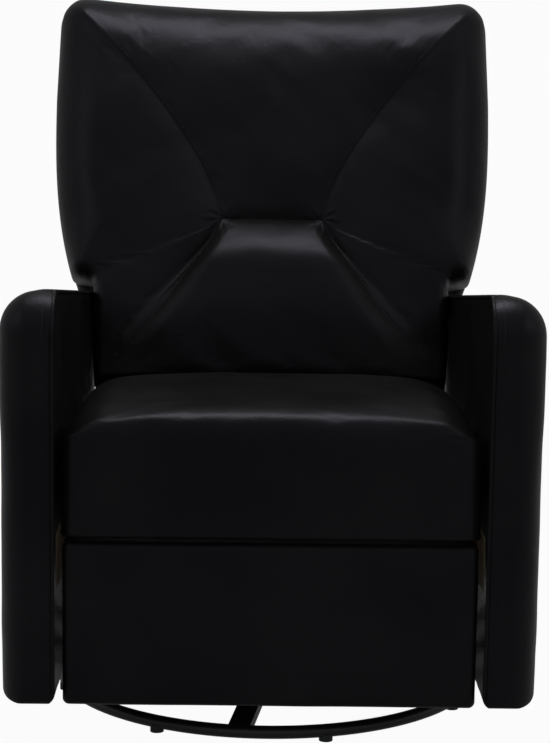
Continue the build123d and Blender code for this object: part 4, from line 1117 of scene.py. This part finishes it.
class RECLINER_OT_back(bpy.types.Operator):
    """Make the back: the tufted cushion and the outside cover behind it"""

    bl_idname = "recliner.back"
    bl_label = "Back"

    def execute(self, context):
        shape = context.scene.recliner_shape
        leather = finishes["black_leather"]
        self.cushion(shape, leather)
        self.shell(shape, leather)
        return {"FINISHED"}

    def cushion(self, shape, leather):
        """The cushion's front: crests between seams, edges rolled back to the outline, seams drawn in.

        Its depth climbs from the level seam to each panel's crest as a quarter sine, falls to the
        rear over an elliptic roll along the outline, and dips by e^(-distance/width) at each seam.
        """
        count = 560
        outline = back_outline(0.0005, 0.055, 0.242, count)
        x, height = outline[:, 0], outline[:, 1]
        wanted = [(-0.300, 0.03), (0.300, 0.03), (0.40, 0.76), (-0.40, 0.76)]
        ends = [int(np.argmin((x - a) ** 2 + (height - b) ** 2)) for a, b in wanted]
        rows = np.concatenate([np.linspace(0, 0.06, 7), np.linspace(0.073, 1.0, 76)])
        flat = envelope_grid(outline, shape.tuft_half, shape.tuft_height, rows, ends)
        to_edge = distances_to(flat, outline)
        panel = np.zeros(count, int)
        numbers = np.arange(count)
        for kind, first, last in zip((0, 1, 2, 1), ends, np.roll(ends, -1)):
            panel[(numbers - first) % count < (last - first) % count] = kind
        crest = soften(np.array([shape.lumbar_crest, shape.back_crest - 0.004, shape.back_crest])[panel], 14)
        reach = soften(np.array([0.30, 0.62, 0.80])[panel], 14)
        roll = soften(np.array([0.040, 0.092, 0.140])[panel], 26)[None]
        roll = roll + (0.018 - roll) * (1 - ease((flat[..., 1] - 0.23) / 0.14))
        t = rows[:, None]
        climb = np.sin(np.pi / 2 * np.minimum(t / reach[None], 1.0))
        depth = shape.tuft_depth + (crest[None] - shape.tuft_depth) * climb
        depth = depth - 0.018 * (1 - ease((flat[..., 1] - 0.055) / 0.14))
        seam_gap = np.full(flat.shape[:2], 9.0)
        pull = np.zeros(flat.shape[:2])
        lower, upper = (0.012, 0.020), (0.007, 0.024)
        for end, (drawn, width) in zip(ends, (lower, lower, upper, upper)):
            line = resample(flat[:, end], 240)
            away = distances_to(flat, line)
            fade = (1 - 0.8 * ease((t - 0.45) / 0.5)) * (0.3 + 0.7 * ease(t / 0.18))
            pull = np.maximum(pull, drawn * fade * np.exp(-away / width))
            seam_gap = np.minimum(seam_gap, away)
        along = np.linspace(-1, 1, 120)
        level = np.column_stack([along * shape.tuft_half, np.full(len(along), shape.tuft_height)])
        away = distances_to(flat, level)
        depth = depth - np.maximum(pull, 0.0045 * np.exp(-away / 0.012))
        seam_gap = np.minimum(seam_gap, away)
        above = flat[..., 1] - shape.tuft_height
        for side in (-1, 1):
            beyond = flat[..., 0] - side * shape.tuft_half
            tuck = np.hypot(beyond, above)
            turn = np.arctan2(above, beyond * side)
            depth = depth + 0.0006 * np.sin(turn * 9 + tuck * 40) * np.exp(-(((tuck - 0.018) / 0.012) ** 2))
        body = 0.052
        share = round_drop(to_edge, roll) / roll
        depth = body + (depth - body) * (1 - share)
        place = np.concatenate([flat, depth[..., None]], -1)
        lumps = ripple(place, 0.15, 21) * 0.0026 + ripple(place, 0.06, 22) * 0.0007
        depth = depth + lumps * ease(to_edge / 0.05)
        front = np.concatenate([flat, depth[..., None]], -1)
        rear = np.concatenate([outline, np.full((count, 1), body - 0.004)], 1)
        hub = rear * [0.0, 0.0, 1.0] + [0.0, shape.tuft_height, 0.0]
        shares = np.array([0.0, 0.3, 0.7, 1.0])[:, None, None]
        closing = rear[None] * (1 - shares) + hub[None] * shares
        grid = np.concatenate([front, closing], 0)
        seam = np.concatenate([np.exp(-((seam_gap / 0.0028) ** 2)), np.zeros(closing.shape[:2])], 0)
        quads = grid_quads(*grid.shape[:2], wrap_columns=True)
        cover, welded = mesh_piece("back_pad", back_place(grid), quads, leather, {"seam": seam})
        welded = welded.reshape(grid.shape[:2])
        held = [welded[0], welded[len(rows) - 1], welded[len(rows):].reshape(-1)]
        held += [welded[: len(rows), end] for end in ends]
        swell(cover, np.concatenate(held), 2.2, 0.005, loosen=0.0012)
        points = coordinates(cover)[welded]
        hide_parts("back_cushion")
        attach(cover, "back")
        self.topstitch(points[: len(rows)], ends)

    def topstitch(self, points, ends):
        """A row of stitches beside each diagonal seam, at an even distance from it."""
        paths, facings = [], []
        for end, step in zip(ends, (-1, 1, 1, -1)):
            beside = points[8:74, (end + step * np.arange(40)) % points.shape[1]]
            gaps = np.linalg.norm(np.diff(beside, axis=1), axis=2)
            along = np.concatenate([np.zeros((len(gaps), 1)), np.cumsum(gaps, 1)], 1)
            after = np.clip((along < 0.006).sum(1), 1, 39)
            number = np.arange(len(after))
            part = (0.006 - along[number, after - 1]) / np.maximum(gaps[number, after - 1], 1e-9)
            part = np.clip(part, 0.0, 1.0)[:, None]
            line = beside[number, after - 1] * (1 - part) + beside[number, after] * part
            normal = np.cross(np.gradient(line, axis=0), beside[:, 20] - beside[:, 0])
            normal /= np.linalg.norm(normal, axis=1, keepdims=True)
            normal *= -np.sign(normal[:, 1:2])
            paths.append(line + normal * 0.0003)
            facings.append(normal)
        thread = stitches("back_stitching", paths, facings, finishes["thread"])
        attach(thread, "back")

    def shell(self, shape, leather):
        """The outside cover: a shallow tray behind the cushion, rounded at its rear rim."""
        count = 420
        outline = back_outline(0.001, 0.004, shape.wing_foot, count)
        depth = 0.053
        rim = 0.016
        along = np.roll(outline, -1, 0) - np.roll(outline, 1, 0)
        inward = np.column_stack([-along[:, 1], along[:, 0]])
        inward /= np.linalg.norm(inward, axis=1, keepdims=True)
        low = 1 - ease((outline[:, 1] - shape.wing_foot) / 0.09)
        low = low * ease((np.abs(outline[:, 0]) - 0.297) / 0.006)
        low = low * (outline[:, 1] > shape.wing_foot - 0.012)

        def ring(inset, at):
            flat = outline + inward * inset
            tuck = 0.012 * (1 - ease((flat[:, 1] - 0.03) / 0.05)) * ease((at - 0.009) / 0.006)
            widest = np.where(flat[:, 1] < 0.15, shape.waist - 0.001 - tuck - inset, 1.0)
            x = np.clip(flat[:, 0], -widest, widest)
            return np.column_stack([x, flat[:, 1] + 0.030 * low * at / depth, np.full(count, at)])

        def towards(inset, share, at):
            base = outline + inward * inset
            hub = np.column_stack([base[:, 0] * 0.0, np.clip(base[:, 1], 0.25, 0.45)])
            return np.column_stack([base * (1 - share) + hub * share, np.full(count, at)])

        turn = np.linspace(0, np.pi / 2, 9)
        outside = [ring(0.004, depth), ring(0.0006, depth - 0.001)]
        outside += [ring(rim * (1 - np.cos(angle)), rim * (1 - np.sin(angle))) for angle in turn]
        outside += [towards(rim, share, 0.0) for share in (0.1, 0.2, 0.35, 0.5, 0.7, 0.85, 1.0)]
        wall, floor = 0.008, 0.006
        inner = [towards(wall, 1.0, floor), towards(wall, 0.5, floor), ring(wall, floor), ring(wall, depth)]
        grid = np.stack(inner + outside, 0)
        quads = grid_quads(*grid.shape[:2], wrap_columns=True)
        cover, _ = mesh_piece("back_outside", back_place(grid), quads, leather)
        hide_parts("back_shell")
        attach(cover, "back")


class RECLINER_OT_studio(bpy.types.Operator):
    """Make the floor, the backdrop, the soft boxes and the camera"""

    bl_idname = "recliner.studio"
    bl_label = "Studio"

    def execute(self, context):
        studio = context.scene.recliner_studio
        self.backdrop(studio)
        self.world(context.scene, studio)
        target = Vector((0.0, 0.0, 0.55))
        self.soft_box("key_box", (0.0, 0.15, 2.7), target, (1.5, 0.9), studio.key)
        self.soft_box("left_box", (-2.6, -1.2, 1.7), target, (1.0, 1.6), studio.fill)
        self.soft_box("right_box", (2.6, -1.2, 1.7), target, (1.0, 1.6), studio.fill)
        self.camera(context.scene, studio)
        return {"FINISHED"}

    def backdrop(self, studio):
        """A floor that curves up into a wall: a straight run, a quarter circle and a straight run."""
        turn = np.linspace(0, np.pi / 2, 24)
        profile = np.vstack([
            [[-9.0, 0.0]],
            np.column_stack([3.0 + 1.5 * np.sin(turn), 1.5 - 1.5 * np.cos(turn)]),
            [[4.5, 7.0]],
        ])
        wide = np.linspace(-9.0, 9.0, 13)
        points = np.empty((len(profile), len(wide), 3))
        points[..., 0] = wide[None]
        points[..., 1:] = profile[:, None]
        quads = grid_quads(*points.shape[:2])
        mesh = bpy.data.meshes.new("backdrop")
        mesh.from_pydata(points.reshape(-1, 3).tolist(), [], quads.tolist())
        mesh.polygons.foreach_set("use_smooth", np.ones(len(quads), bool))
        piece = bpy.data.objects.new("backdrop", mesh)
        bpy.context.scene.collection.objects.link(piece)
        n = Nodes("backdrop")
        n.finish(Base_Color=shade(studio.backdrop, 1.0), Roughness=0.9, Specular_IOR_Level=0.0)
        glow = n.add("ShaderNodeEmission", {"Color": (1.0, 1.0, 1.0, 1.0), "Strength": 1.0})
        rays = n.add("ShaderNodeLightPath").outputs
        mirrored = n.math("MAXIMUM", rays["Is Glossy Ray"], rays["Is Transmission Ray"])
        mirrored = n.math("MULTIPLY", mirrored, studio.mirrored_glow)
        seen = n.math("MULTIPLY", rays["Is Camera Ray"], studio.glow)
        share = n.math("MAXIMUM", seen, mirrored)
        blend = n.add("ShaderNodeMixShader", {0: share, 1: n.shader.outputs[0], 2: glow.outputs[0]})
        exit_node = next(node for node in n.tree.nodes if node.type == "OUTPUT_MATERIAL")
        n.tree.links.new(blend.outputs[0], exit_node.inputs["Surface"])
        mesh.materials.append(n.material)

    def world(self, scene, studio):
        world = bpy.data.worlds.new("studio")
        scene.world = world
        world.use_nodes = True
        tree = world.node_tree
        light = tree.nodes["Background"]
        light.inputs["Color"].default_value = (0.93, 0.96, 1.0, 1.0)
        light.inputs["Strength"].default_value = studio.ambient
        white = tree.nodes.new("ShaderNodeBackground")
        white.inputs["Color"].default_value = (1.0, 1.0, 1.0, 1.0)
        rays = tree.nodes.new("ShaderNodeLightPath")
        blend = tree.nodes.new("ShaderNodeMixShader")
        tree.links.new(rays.outputs["Is Camera Ray"], blend.inputs[0])
        tree.links.new(light.outputs[0], blend.inputs[1])
        tree.links.new(white.outputs[0], blend.inputs[2])
        tree.links.new(blend.outputs[0], tree.nodes["World Output"].inputs["Surface"])

    def soft_box(self, name, place, target, size, power):
        lamp = bpy.data.lights.new(name, "AREA")
        lamp.shape = "RECTANGLE"
        lamp.size, lamp.size_y = size
        lamp.energy = power
        lamp.color = (0.95, 0.96, 1.0)
        box = bpy.data.objects.new(name, lamp)
        box.location = place
        box.rotation_euler = (target - Vector(place)).to_track_quat("-Z", "Y").to_euler()
        bpy.context.scene.collection.objects.link(box)

    def camera(self, scene, studio):
        """The camera looks along +Y, turned by its yaw, tipped by its pitch and then rolled."""
        lens = bpy.data.cameras.new("camera")
        lens.sensor_fit = "VERTICAL"
        lens.sensor_height = 24.0
        lens.lens = studio.focal * lens.sensor_height
        lens.clip_end = 50.0
        camera = bpy.data.objects.new("camera", lens)
        turn = Euler((np.pi / 2 - studio.pitch, 0.0, -studio.yaw), "XYZ").to_matrix()
        turn = turn @ Matrix.Rotation(studio.roll, 3, "Z")
        camera.matrix_world = Matrix.Translation(studio.camera_place) @ turn.to_4x4()
        scene.collection.objects.link(camera)
        scene.camera = camera
        scene.view_settings.view_transform = "Standard"


class RECLINER_PT_panel(bpy.types.Panel):
    """The recliner's settings and steps, in the 3D view's sidebar."""

    bl_label = "Recliner"
    bl_idname = "RECLINER_PT_panel"
    bl_space_type = "VIEW_3D"
    bl_region_type = "UI"
    bl_category = "Recliner"

    def draw(self, context):
        scene = context.scene
        groups = (scene.recliner_shape, scene.recliner_finish, scene.recliner_studio)
        for title, group in zip(("Shape", "Finish", "Studio"), groups):
            box = self.layout.box()
            box.label(text=title)
            for key in group.__annotations__:
                box.prop(group, key)
        for step in STEPS:
            self.layout.operator(step.bl_idname)


STEPS = (
    RECLINER_OT_finishes, RECLINER_OT_arms, RECLINER_OT_seat, RECLINER_OT_footrest,
    RECLINER_OT_rear_panel, RECLINER_OT_back, RECLINER_OT_studio,
)
CLASSES = (ReclinerShape, ReclinerFinish, ReclinerStudio, *STEPS, RECLINER_PT_panel)


def register():
    for cls in CLASSES:
        bpy.utils.register_class(cls)
    bpy.types.Scene.recliner_shape = bpy.props.PointerProperty(type=ReclinerShape)
    bpy.types.Scene.recliner_finish = bpy.props.PointerProperty(type=ReclinerFinish)
    bpy.types.Scene.recliner_studio = bpy.props.PointerProperty(type=ReclinerStudio)


def unregister():
    del bpy.types.Scene.recliner_shape
    del bpy.types.Scene.recliner_finish
    del bpy.types.Scene.recliner_studio
    for cls in reversed(CLASSES):
        bpy.utils.unregister_class(cls)


def main():
    """Build the recliner step by step."""
    register()
    bpy.ops.recliner.finishes()
    bpy.ops.recliner.arms()
    bpy.ops.recliner.seat()
    bpy.ops.recliner.footrest()
    bpy.ops.recliner.rear_panel()
    bpy.ops.recliner.back()
    bpy.ops.recliner.studio()


if __name__ == "__main__":
    main()
